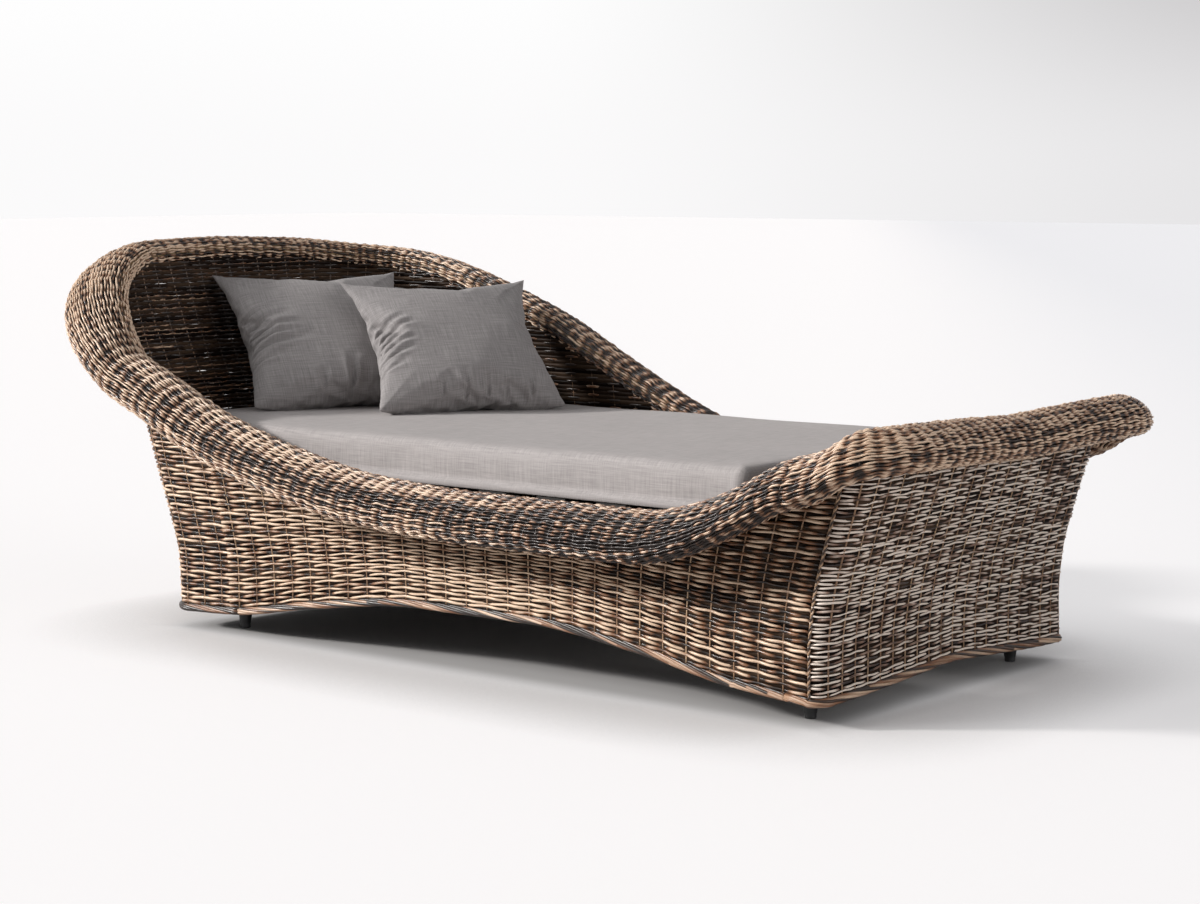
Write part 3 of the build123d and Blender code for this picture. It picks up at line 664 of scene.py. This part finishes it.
def weave_rim(name, first, last, node, per_ring=6):
    """Canes along the roll. Each passes over one ring and under the next, and sways from side to side
    against its neighbours, which opens a lens-shaped gap between every two rings. Their tone holds painted
    light: it is palest on the right, the near side that the key lights, near the head, falls towards the
    foot's corners, and wavers in bands across the roll."""
    over, bulge, sunk = 0.0010, 0.0030, 0.0045
    half_wide, half_deep = 0.0021, 0.0025
    ring = np.linspace(first, last, (last - first) * per_ring + 1)
    k = np.arange(rim_strands)[:, None]
    turn = k / rim_strands + drift(rim_strands, ring, 0.0022)
    point, out, around = on_roll(np.broadcast_to(ring[None], turn.shape), turn)
    weave = np.cos(np.pi * (ring[None] + k + drift(rim_strands, ring, 0.22, 1.3)))
    depth = over * np.tanh(1.3 * weave) / np.tanh(1.3) + drift(rim_strands, ring, 0.0006, 2)
    depth = depth + bulge * np.sin(np.pi * ring[None]) ** 2 - 0.0013
    sway = 0.0006 * weave + 0.0008 * np.sin(np.pi * ring[None]) + drift(rim_strands, ring, 0.0007, 2.1)
    middle = point + out * (depth - sunk)[..., None] + around * sway[..., None]
    thick = half_wide * (1 + drift(rim_strands, ring, 0.16))
    proud = np.clip(0.42 + depth / 0.0040, 0, 1)
    near = np.clip(-point[..., 1] / 0.4, 0, 1)
    # painted light on the rim: lighter on the near, key-lit side and at the head, darker towards the foot
    painted_rim_light_and_bands = 0.38 * near - 0.14 - (0.36 + 0.36 * near) * np.clip((point[..., 0] + 1.0) / 1.6, 0, 1)
    painted_rim_light_and_bands = painted_rim_light_and_bands + 0.47 * np.clip((point[..., 0] - 0.90) / 0.16, 0, 1)
    painted_rim_light_and_bands = painted_rim_light_and_bands + 0.11 * np.sin(2.3 * ring + 1.6 * np.sin(0.41 * ring) + 0.05 * k)
    woven(cane_piece(name, middle, out, thick, half_deep * np.ones_like(thick), np.ones(thick.shape, bool),
                     strand_tones(rim_strands, ring, 5, 20) + painted_rim_light_and_bands, proud, rim_cane), node)


def make_rim():
    """The roll's canes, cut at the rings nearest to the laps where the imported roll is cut."""
    laps = np.interp(np.arange(ring_total + 1) / ring_total, np.arange(len(rim_laps)) / len(rim_laps), rim_laps)
    right_foot, right_head, left_head, left_foot = (
        int(np.argmin(np.abs(laps - lap))) for lap in (-foot_cut, -head_cut, head_cut, foot_cut))
    weave_rim("rim_right_weave", right_foot, right_head, "rim_roll_right")
    weave_rim("rim_head_right_weave", right_head, ring_total // 2, "rim_roll_head")
    weave_rim("rim_head_left_weave", ring_total // 2, left_head, "rim_roll_head")
    weave_rim("rim_left_weave", left_head, left_foot, "rim_roll_left")
    weave_rim("rim_foot_right_weave", 0, right_foot, "rim_roll_foot")
    weave_rim("rim_foot_left_weave", left_foot, ring_total, "rim_roll_foot")


make_rim()


def make_lining():
    """Near-black skin just inside the woven roll, as painted shade behind its canes: the rim's grid, moved in
    and joined up both ways.
    """
    sunk = 0.0120
    points = (rim_grid - sunk * rim_out)[::4]
    n, m = points.shape[:2]
    index = np.arange(n * m).reshape(n, m)
    a, b = index, np.roll(index, -1, 0)
    quads = np.stack([a, b, np.roll(b, -1, 1), np.roll(a, -1, 1)], -1).reshape(-1, 4)
    woven(build("rim_lining", points.reshape(-1, 3), quads.ravel(), np.full(len(quads), 4), material=painted_shade_skin))


make_lining()


def make_rings():
    """Rings round the roll under and over which its canes pass."""
    sunk, half_ring = 0.0062, 0.0012
    ring = np.arange(ring_total).astype(float)
    turn = np.broadcast_to(np.linspace(0, 1, 41)[None], (len(ring), 41))
    point, out, _ = on_roll(np.broadcast_to(ring[:, None], turn.shape), turn)
    size = np.full(turn.shape, half_ring)
    woven(cane_piece("rim_rings", point - sunk * out, out, size, size, np.ones(turn.shape, bool),
                     np.full(turn.shape, 0.25), np.full(turn.shape, 0.1), stake_cane))


make_rings()

# hem and corner ropes


def rope(name, line, out, radius, cane, count, pitch, material, *nodes):
    """Canes twisted round a line: cane j turns by 2 pi (run / pitch + j / count) at a radius from it. They
    are darker than the walls'."""
    run = np.concatenate([[0], np.cumsum(np.linalg.norm(np.diff(line, axis=0), axis=1))])
    along = unit(np.gradient(line, axis=0))
    across = unit(np.cross(out, along))
    out = unit(np.cross(along, across))
    turn = 2 * np.pi * (run[None] / pitch + np.arange(count)[:, None] / count)
    middle = line[None] + radius * (np.cos(turn)[..., None] * across[None] + np.sin(turn)[..., None] * out[None])
    size = cane * (1 + drift(count, run * 20, 0.05))
    tone = strand_tones(count, run * 30) - 0.42
    proud = 0.35 + 0.35 * np.sin(turn)
    outs = np.broadcast_to(out[None], middle.shape)
    woven(cane_piece(name, middle, outs, size, size, np.ones(size.shape, bool), tone, proud, material, 7), *nodes)


hem_droop = 0.007
across_foot = np.concatenate([np.linspace(foot_cut, 5, 150), np.linspace(-5, -foot_cut, 150)[1:]])
for name, laps in (
        ("right", np.linspace(-foot_cut, -head_cut, 420)), ("head", np.linspace(-head_cut, head_cut, 420)),
        ("left", np.linspace(head_cut, foot_cut, 420)), ("foot", across_foot)):
    line, out = on_wall(hem_low + hem_rise(laps), laps)
    line[:, 2] -= hem_droop
    rope(f"hem_{name}_rope", line, out, 0.0058, 0.0031, 8, 0.30, side_cane, f"hem_{name}")

for side, label in ((-1, "right"), (1, "left")):
    height = np.linspace(hem_low, roll_middle(3.2)[0], 120)
    line, out = on_wall(height, np.full(120, side * 3.05), -0.002)
    rope(f"corner_{label}_rope", line, out, 0.0018, 0.0018, 2, 0.018, stake_cane)

# mattress
mattress_low, mattress_thick = 0.376, 0.084
mattress_half = 0.408
mattress_head_gap, mattress_foot_gap = 0.020, 0.250
mattress_foot_corner, mattress_head_corner = 0.028, 0.092
least_corner = 0.003
outline_step = 0.008


def box_uv(points, loops, totals):
    """Thread map in metres, laid flat on whichever side of a box each face turns to."""
    starts = np.concatenate([[0], np.cumsum(totals)[:-1]])
    a, b, c = (points[loops[starts + i]] for i in range(3))
    normal = np.repeat(unit(np.cross(b - a, c - a)), totals, 0)
    p = points[loops]
    top = np.abs(normal[:, 2]) > 0.5
    end = np.abs(normal[:, 0]) > np.abs(normal[:, 1])
    return np.where(top[:, None], p[:, :2], np.where(end[:, None], p[:, 1:], p[:, [0, 2]]))


def mattress_outline(inset):
    """Rounded plan of the mattress moved in by an inset, with its outward directions. Every inset has the
    same count of points: 13 on each corner arc and one about every 8 mm between them."""
    head_x, foot_x = plan(mattress_low)[:2]
    start, end, half = head_x + wall_thickness + mattress_head_gap, foot_x - mattress_foot_gap, mattress_half
    corners = (mattress_foot_corner,) * 2 + (mattress_head_corner,) * 2
    wide = [max(radius - inset, least_corner) for radius in corners]
    middles = [
        (end - inset - wide[0], -half + inset + wide[0]), (end - inset - wide[1], half - inset - wide[1]),
        (start + inset + wide[2], half - inset - wide[2]), (start + inset + wide[3], -half + inset + wide[3])]
    counts = [int((2 * half - 2 * mattress_foot_corner) / outline_step), int((end - start) / outline_step)] * 2
    points, outward = [], []
    for i in range(4):
        a = np.radians(90 * i - 90 + np.linspace(0, 90, 13))
        normal = np.stack([np.cos(a), np.sin(a)], -1)
        arc = np.array(middles[i]) + wide[i] * normal
        nxt = (i + 1) % 4
        goal = np.array(middles[nxt]) + wide[nxt] * normal[-1]
        line = arc[-1] + (goal - arc[-1]) * np.linspace(0, 1, counts[i] + 1)[1:-1, None]
        points += [arc, line]
        outward += [normal, np.repeat(normal[-1:], len(line), 0)]
    return np.concatenate(points), np.concatenate(outward)


def make_mattress():
    """Boxed pad: its plan outline carried up a profile of (inset, height) pairs and then in over the flat
    top. The sides and the top ripple a little by slow sines, and the long sides' lower edge hangs over
    the slats' ends."""
    profile = np.array([
        (0.0008, 0.0002), (-0.001, -0.0055), (-0.0025, -0.0075), (-0.0045, -0.0060), (-0.0040, 0.0010),
        (-0.0020, 0.0055), (0.0012, 0.010), (0.0006, 0.018), (0.0, 0.028),
        (0.0, 0.038), (0.0004, 0.048), (0.0012, 0.056), (0.0026, 0.0635), (0.0050, 0.0695), (0.0085, 0.0745),
        (0.0130, 0.0782), (0.0190, 0.0806), (0.0270, 0.0822), (0.0380, 0.0832), (0.0480, 0.0836)])
    outline, outward = mattress_outline(0)
    run = np.concatenate([[0], np.cumsum(np.linalg.norm(np.diff(outline, axis=0), axis=1))])
    ripple = 0.0010 * np.sin(run * 9 + 1) + 0.0008 * np.sin(run * 23 + 2) + 0.0005 * np.sin(run * 41)
    rings = []
    top = [(inset, 0.0836) for inset in np.linspace(0.058, mattress_half - 0.012, 36)]
    for inset, height in np.concatenate([[(0.10, 0.0)], profile, top]):
        hang = np.abs(outward[:, 1]) ** 4
        droop = np.where(height < 0.004, hang, 1)
        under = (inset < 0.004) & (height < 0.006)
        flat, normal = mattress_outline(inset + 0.0018)
        if under:
            flat = flat + normal * ((hang - 1) * (0.0065 - inset) + hang * 0.0046)[:, None]
        soft = np.sin(np.pi * np.clip(height / mattress_thick, 0, 1))
        flat = flat + normal * (ripple * soft)[:, None]
        lift = max(height, 0.0004) * (1 - droop) + height * droop
        lift = lift + 0.0012 * np.sin(run * 13 + 0.5) * (height > 0.06) * np.clip(1 - inset * 8, 0, 1)
        wave = 0.0006 * np.sin(flat[:, 0] * 17 + 3 * flat[:, 1]) + 0.0005 * np.sin(flat[:, 1] * 21 + 1)
        lift = lift + wave * np.clip(inset * 12, 0, 1) * (height > 0.06)
        rings.append(np.concatenate([flat, lift[:, None] + mattress_low], 1))
    stack = np.array(rings)
    n, m = stack.shape[:2]
    index = np.arange(n * m).reshape(n, m)
    a, b = index[:-1], index[1:]
    quads = np.stack([a, np.roll(a, -1, 1), np.roll(b, -1, 1), b], -1).reshape(-1, 4)
    points = stack.reshape(-1, 3)
    loops = np.concatenate([quads.ravel(), index[0][::-1], index[-1]])
    totals = np.concatenate([np.full(len(quads), 4), [m, m]])
    piece = build("mattress", points, loops, totals, uv=box_uv(points, loops, totals), material=mattress_linen)
    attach(piece, "mattress")
    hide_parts("mattress_cover", "mattress_core")


make_mattress()

# scatter cushions
cushion_side = 0.436
cushion_thick = 0.144
cushion_lean = np.radians(50)
cloth_half, sewn_rise = 0.222, 0.014


def pillow_grid(n):
    """Two square sheets sewn round their edge: x, y over the sheet, and one row of corners per face."""
    t = np.linspace(-1, 1, n)
    u, v = np.meshgrid(t, t, indexing="ij")
    edge = (np.abs(u) == 1) | (np.abs(v) == 1)
    front = np.arange(n * n).reshape(n, n)
    back = front.copy()
    back[~edge] = n * n + np.arange((~edge).sum())
    quads = [np.stack([g[:-1, :-1], g[1:, :-1], g[1:, 1:], g[:-1, 1:]], -1).reshape(-1, 4)
             for g in (front, back)]
    quads[1] = quads[1][:, ::-1]
    return u, v, edge, np.concatenate(quads)


def swell(piece, frames, pressure):
    """Blow a sewn shape up with Blender's cloth, smooth it by one subdivision, and return the new mesh."""
    scene = bpy.context.scene
    mod = piece.modifiers.new("filling", "CLOTH")
    for key, value in (
            ("quality", 6), ("mass", 0.25), ("tension_stiffness", 25), ("compression_stiffness", 25),
            ("shear_stiffness", 12), ("bending_stiffness", 0.2), ("tension_damping", 12), ("air_damping", 3),
            ("use_pressure", True), ("uniform_pressure_force", pressure)):
        setattr(mod.settings, key, value)
    mod.settings.effector_weights.gravity = 0
    mod.collision_settings.use_collision = False
    mod.point_cache.frame_start = 1
    mod.point_cache.frame_end = frames
    finer = piece.modifiers.new("finer", "SUBSURF")
    finer.levels = finer.render_levels = 1
    for frame_number in range(1, frames + 1):
        scene.frame_set(frame_number)
    graph = bpy.context.evaluated_depsgraph_get()
    mesh = bpy.data.meshes.new_from_object(
        piece.evaluated_get(graph), preserve_all_data_layers=True, depsgraph=graph)
    piece.modifiers.clear()
    piece.data = mesh
    scene.frame_set(1)
    return mesh


def crease(x, y, start, end, width, depth):
    """A fold from start to end: a bell-shaped dip with a lower swell on each side, fading towards its end
    and bending a little on the way."""
    a, b = np.array(start), np.array(end)
    line = b - a
    along = ((x - a[0]) * line[0] + (y - a[1]) * line[1]) / line.dot(line)
    off = ((x - a[0]) * line[1] - (y - a[1]) * line[0]) / np.hypot(*line)
    off = off + 0.12 * width * np.sin(5 * along + 40 * start[1])
    fade = np.clip(1 - along, 0, 1) ** 1.1 * np.clip((along + 0.25) * 4, 0, 1)
    spread = width * (0.8 + 1.1 * np.clip(along, 0, 1))
    swells = np.exp(-((np.abs(off) - 1.7 * spread) / spread) ** 2)
    return 1.3 * depth * fade * (0.65 * swells - np.exp(-(off / spread) ** 2))


def make_pillow(name, yaw, pull, tall, creases, n=72):
    """A sewn square blown up, fitted to its size, with its edges drawn in by pull at their middles, creases
    pressed into its front, and its lower edge set straight on the mattress."""
    u, v, edge, quads = pillow_grid(n)
    full = ((1 - u ** 2) * (1 - v ** 2)) ** 0.6
    x, y = cloth_half * u, cloth_half * v
    z = sewn_rise * full
    points = np.concatenate([np.stack([x, y, z], -1).reshape(-1, 3), np.stack([x, y, -z], -1)[~edge]])
    sheet = np.stack([u, v, np.ones_like(u)], -1)
    sheet = np.concatenate([sheet.reshape(-1, 3), sheet[~edge] * (1, 1, -1)])
    loops = quads.ravel()
    uv = sheet[loops, :2] * cloth_half + np.repeat(np.array([[0.0, 0.0], [0.7, 0.3]]), len(loops) // 2, 0)
    piece = build(name, points, loops, np.full(len(quads), 4), {"sheet": sheet}, uv, cushion_linen)
    mesh = swell(piece, 24, 5.0)
    count = len(mesh.vertices)
    shape, sheet = np.empty(count * 3, np.float32), np.empty(count * 3, np.float32)
    mesh.vertices.foreach_get("co", shape)
    mesh.attributes["sheet"].data.foreach_get("vector", sheet)
    shape, sheet = shape.reshape(-1, 3).astype(float), sheet.reshape(-1, 3).astype(float)
    su, sv, face = sheet.T
    span = shape.max(0) - shape.min(0)
    goal = np.array([cushion_side, cushion_side, cushion_thick])
    shape = (shape - (shape.max(0) + shape.min(0)) / 2) * goal / span
    rows = np.abs(sv) < 0.03
    drawn = 1 - (np.abs(shape[rows, 0]).max() / (cushion_side / 2))
    shape[:, 0] *= 1 + (drawn - pull) / (1 - drawn) * (1 - sv ** 2)
    shape[:, 1] *= 1 + np.where(sv > 0, drawn - 1.25 * pull, drawn - 0.01) / (1 - drawn) * (1 - su ** 2)
    inside = (1 - su ** 2) * (1 - sv ** 2)
    for fold in creases:
        shape[:, 2] += crease(shape[:, 0], shape[:, 1], *fold) * (face > 0) * np.clip(inside * 12, 0, 1)
    shape[:, 2] *= 1 - 0.28 * sv
    shape[:, 1] = (shape[:, 1] + cushion_side / 2) * tall - cushion_side / 2
    ear = 0.03 * (np.clip(su ** 2, 0, 1) * np.clip(sv, 0, 1) ** 2) ** 4
    shape[:, :2] *= 1 + ear[:, None]
    turn, level = np.radians(yaw), np.cos(cushion_lean)
    along = np.array([np.sin(turn), np.cos(turn), 0])
    out = np.array([np.cos(turn) * level, -np.sin(turn) * level, np.sin(cushion_lean)])
    up = np.cross(out, along)
    low, high = (np.array(corner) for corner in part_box(f"{name}_cover"))
    placed = (low + high) / 2 + shape[:, :1] * along + shape[:, 1:2] * up + shape[:, 2:] * out
    mesh.vertices.foreach_set("co", placed.astype(np.float32).ravel())
    mesh.polygons.foreach_set("use_smooth", np.ones(len(mesh.polygons), bool))
    mesh.update()
    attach(piece, name)
    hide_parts(f"{name}_cover", f"{name}_filling")


rear_creases = [
    ((-0.195, 0.045), (-0.11, 0.060), 0.005, 0.005), ((-0.192, 0.010), (-0.08, 0.030), 0.006, 0.007),
    ((-0.190, -0.018), (-0.06, -0.010), 0.005, 0.008), ((-0.190, -0.045), (-0.07, -0.040), 0.005, 0.008),
    ((-0.192, -0.075), (-0.04, -0.055), 0.007, 0.007), ((-0.192, -0.110), (-0.10, -0.100), 0.006, 0.005),
    ((0.005, -0.200), (0.025, -0.115), 0.007, 0.008), ((-0.06, -0.205), (-0.055, -0.160), 0.006, 0.004)]
front_creases = [
    ((-0.187, 0.018), (-0.105, 0.050), 0.006, 0.008), ((-0.185, -0.010), (-0.095, 0.016), 0.005, 0.009),
    ((-0.185, -0.034), (-0.115, -0.018), 0.0045, 0.008), ((-0.187, -0.060), (-0.100, -0.040), 0.005, 0.008),
    ((-0.190, -0.090), (-0.110, -0.070), 0.005, 0.007), ((-0.195, -0.125), (-0.130, -0.105), 0.005, 0.005),
    ((-0.075, -0.205), (-0.070, -0.165), 0.005, 0.005), ((-0.02, -0.205), (-0.018, -0.150), 0.005, 0.006),
    ((0.03, -0.205), (0.030, -0.155), 0.005, 0.006), ((0.075, -0.205), (0.070, -0.165), 0.005, 0.005),
    ((0.135, -0.205), (0.125, -0.160), 0.006, 0.006)]
make_pillow("rear_cushion", yaw=28, pull=0.11, tall=1.0, creases=rear_creases)
make_pillow("front_cushion", yaw=31, pull=0.14, tall=0.95, creases=front_creases)

# pieces kept from the frame
finish_of = {
    "rim_pole": (pole, "cane_pole"), "leg_plugs": (plastic, "black_plastic"), "leg_": (steel, "steel_frame"),
    "lower_rail": (steel, "steel_frame"), "deck_rail": (steel, "steel_frame"), "wall_ties": (steel, "steel_frame"),
    "slat_screws": (zinc, "zinc_steel"), "foot_studs": (zinc, "zinc_steel"), "slat_": (wood, "slat_wood"),
    "foot_cup": (plastic, "black_plastic"), "glide_": (plastic, "black_plastic"),
    "mattress_zip": (zip_tape, "zip_tape")}
for node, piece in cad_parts.items():
    for start, (material, slot_name) in finish_of.items():
        if node.startswith(start):
            piece.data.materials.clear()
            piece.data.materials.append(material)
            break

# floor, light and camera
# The floor looks paler to the camera than it is to the light, and greys off to the far right. That extra glow
# # fades near the lounger by ambient occlusion and is taken away under its base, where its shadow is deepest:
# painted shadow.
to_far_right = (0.83, 0.56, 0.0)
base_middle, base_reach, base_half = 0.112, 0.867, 0.442
floor_material, floor_tree, floor_shader = new_material("floor", 0.75, Specular_IOR_Level=0.2)
seen = add(floor_tree, "ShaderNodeLightPath").outputs["Is Camera Ray"]
spot = add(floor_tree, "ShaderNodeTexCoord").outputs["Object"]
aside = add(floor_tree, "ShaderNodeVectorMath", [(0, spot), (1, to_far_right)], operation="DOT_PRODUCT").outputs[1]
shown = blend_colour(floor_tree, ramp(floor_tree, aside, 0.5, 3.2), (0.49, 0.479, 0.475, 1), (0.335, 0.34, 0.357, 1))
floor_tree.links.new(
    blend_colour(floor_tree, seen, (0.62, 0.61, 0.61, 1), shown), floor_shader.inputs["Base Color"])
open_sky = add(floor_tree, "ShaderNodeAmbientOcclusion", [("Distance", 0.38)], samples=8).outputs["AO"]
apart = add(floor_tree, "ShaderNodeSeparateXYZ", [(0, spot)]).outputs
along_base = maths(floor_tree, "ABSOLUTE", maths(floor_tree, "SUBTRACT", apart[0], base_middle))
beside = maths(floor_tree, "MAXIMUM", maths(floor_tree, "MULTIPLY", along_base, 1 / base_reach),
               maths(floor_tree, "MULTIPLY", maths(floor_tree, "ABSOLUTE", apart[1]), 1 / base_half))
# painted shadow: the camera glow dims by ambient occlusion near the lounger and is cut under its base
glow = maths(floor_tree, "MULTIPLY", seen, maths(floor_tree, "POWER", open_sky, 2.0))
glow = maths(floor_tree, "MULTIPLY", glow, ramp(floor_tree, beside, 0.86, 1.08))
floor_tree.links.new(
    blend_colour(floor_tree, glow, (0, 0, 0, 1), (0.505, 0.50, 0.508, 1)), floor_shader.inputs["Emission Color"])
floor_shader.inputs["Emission Strength"].default_value = 1.0
size = 40.0
floor = build("floor", np.array([(-size, -size, 0), (size, -size, 0), (size, size, 0), (-size, size, 0)], float),
              np.array([0, 1, 2, 3]), np.array([4]), material=floor_material)

world = bpy.data.worlds.new("studio")
bpy.context.scene.world = world
world.use_nodes = True
sky = world.node_tree
path = add(sky, "ShaderNodeLightPath").outputs
through = maths(sky, "MAXIMUM", path["Is Glossy Ray"], path["Is Transmission Ray"])
bright = maths(sky, "MAXIMUM", path["Is Camera Ray"], through)
way = add(sky, "ShaderNodeTexCoord").outputs["Generated"]
across = add(sky, "ShaderNodeVectorMath", [(0, way), (1, to_far_right)], operation="DOT_PRODUCT").outputs[1]
fall = ramp(sky, across, -0.14, 0.20)
climb = ramp(sky, add(sky, "ShaderNodeSeparateXYZ", [(0, way)]).outputs[2], 0.0, 0.09)
backdrop = sky.nodes["Background"]
high = blend_colour(sky, fall, (1.0, 1.0, 1.0, 1), (0.55, 0.538, 0.547, 1))
low = blend_colour(sky, fall, (0.965, 0.958, 0.962, 1), (0.78, 0.772, 0.782, 1))
sky.links.new(blend_colour(sky, climb, low, high), backdrop.inputs["Color"])
sky.links.new(maths(sky, "MULTIPLY_ADD", bright, 0.68, 0.32), backdrop.inputs["Strength"])


def sun(name, direction, strength, spread, colour=(1, 1, 1)):
    """A sun that shines from a direction and looks spread degrees wide."""
    lamp = bpy.data.lights.new(name, "SUN")
    lamp.energy, lamp.angle, lamp.color = strength, np.radians(spread), colour
    place = bpy.data.objects.new(name, lamp)
    place.rotation_euler = Vector(direction).to_track_quat("Z", "Y").to_euler()
    bpy.context.scene.collection.objects.link(place)


sun("key", (-0.73, -0.58, 0.41), 3.0, 6, (1.0, 0.975, 0.95))
sun("soft", (-0.60, -0.66, 0.55), 1.2, 25)
sun("fill", (0.95, 0.10, 0.07), 1.2, 50)

camera_data = bpy.data.cameras.new("camera")
camera_data.sensor_width = 36
camera_data.lens = 77.79
camera = bpy.data.objects.new("camera", camera_data)
bpy.context.scene.collection.objects.link(camera)
forward, right = Vector((-0.6281, 0.7706, -0.1081)).normalized(), Vector((0.7751, 0.6318, 0)).normalized()
up = right.cross(forward)
camera.matrix_world = Matrix((
    (right.x, up.x, -forward.x, 3.551303), (right.y, up.y, -forward.y, -4.22943),
    (right.z, up.z, -forward.z, 1.0), (0, 0, 0, 1)))
bpy.context.scene.camera = camera
bpy.context.scene.view_settings.view_transform = "Standard"
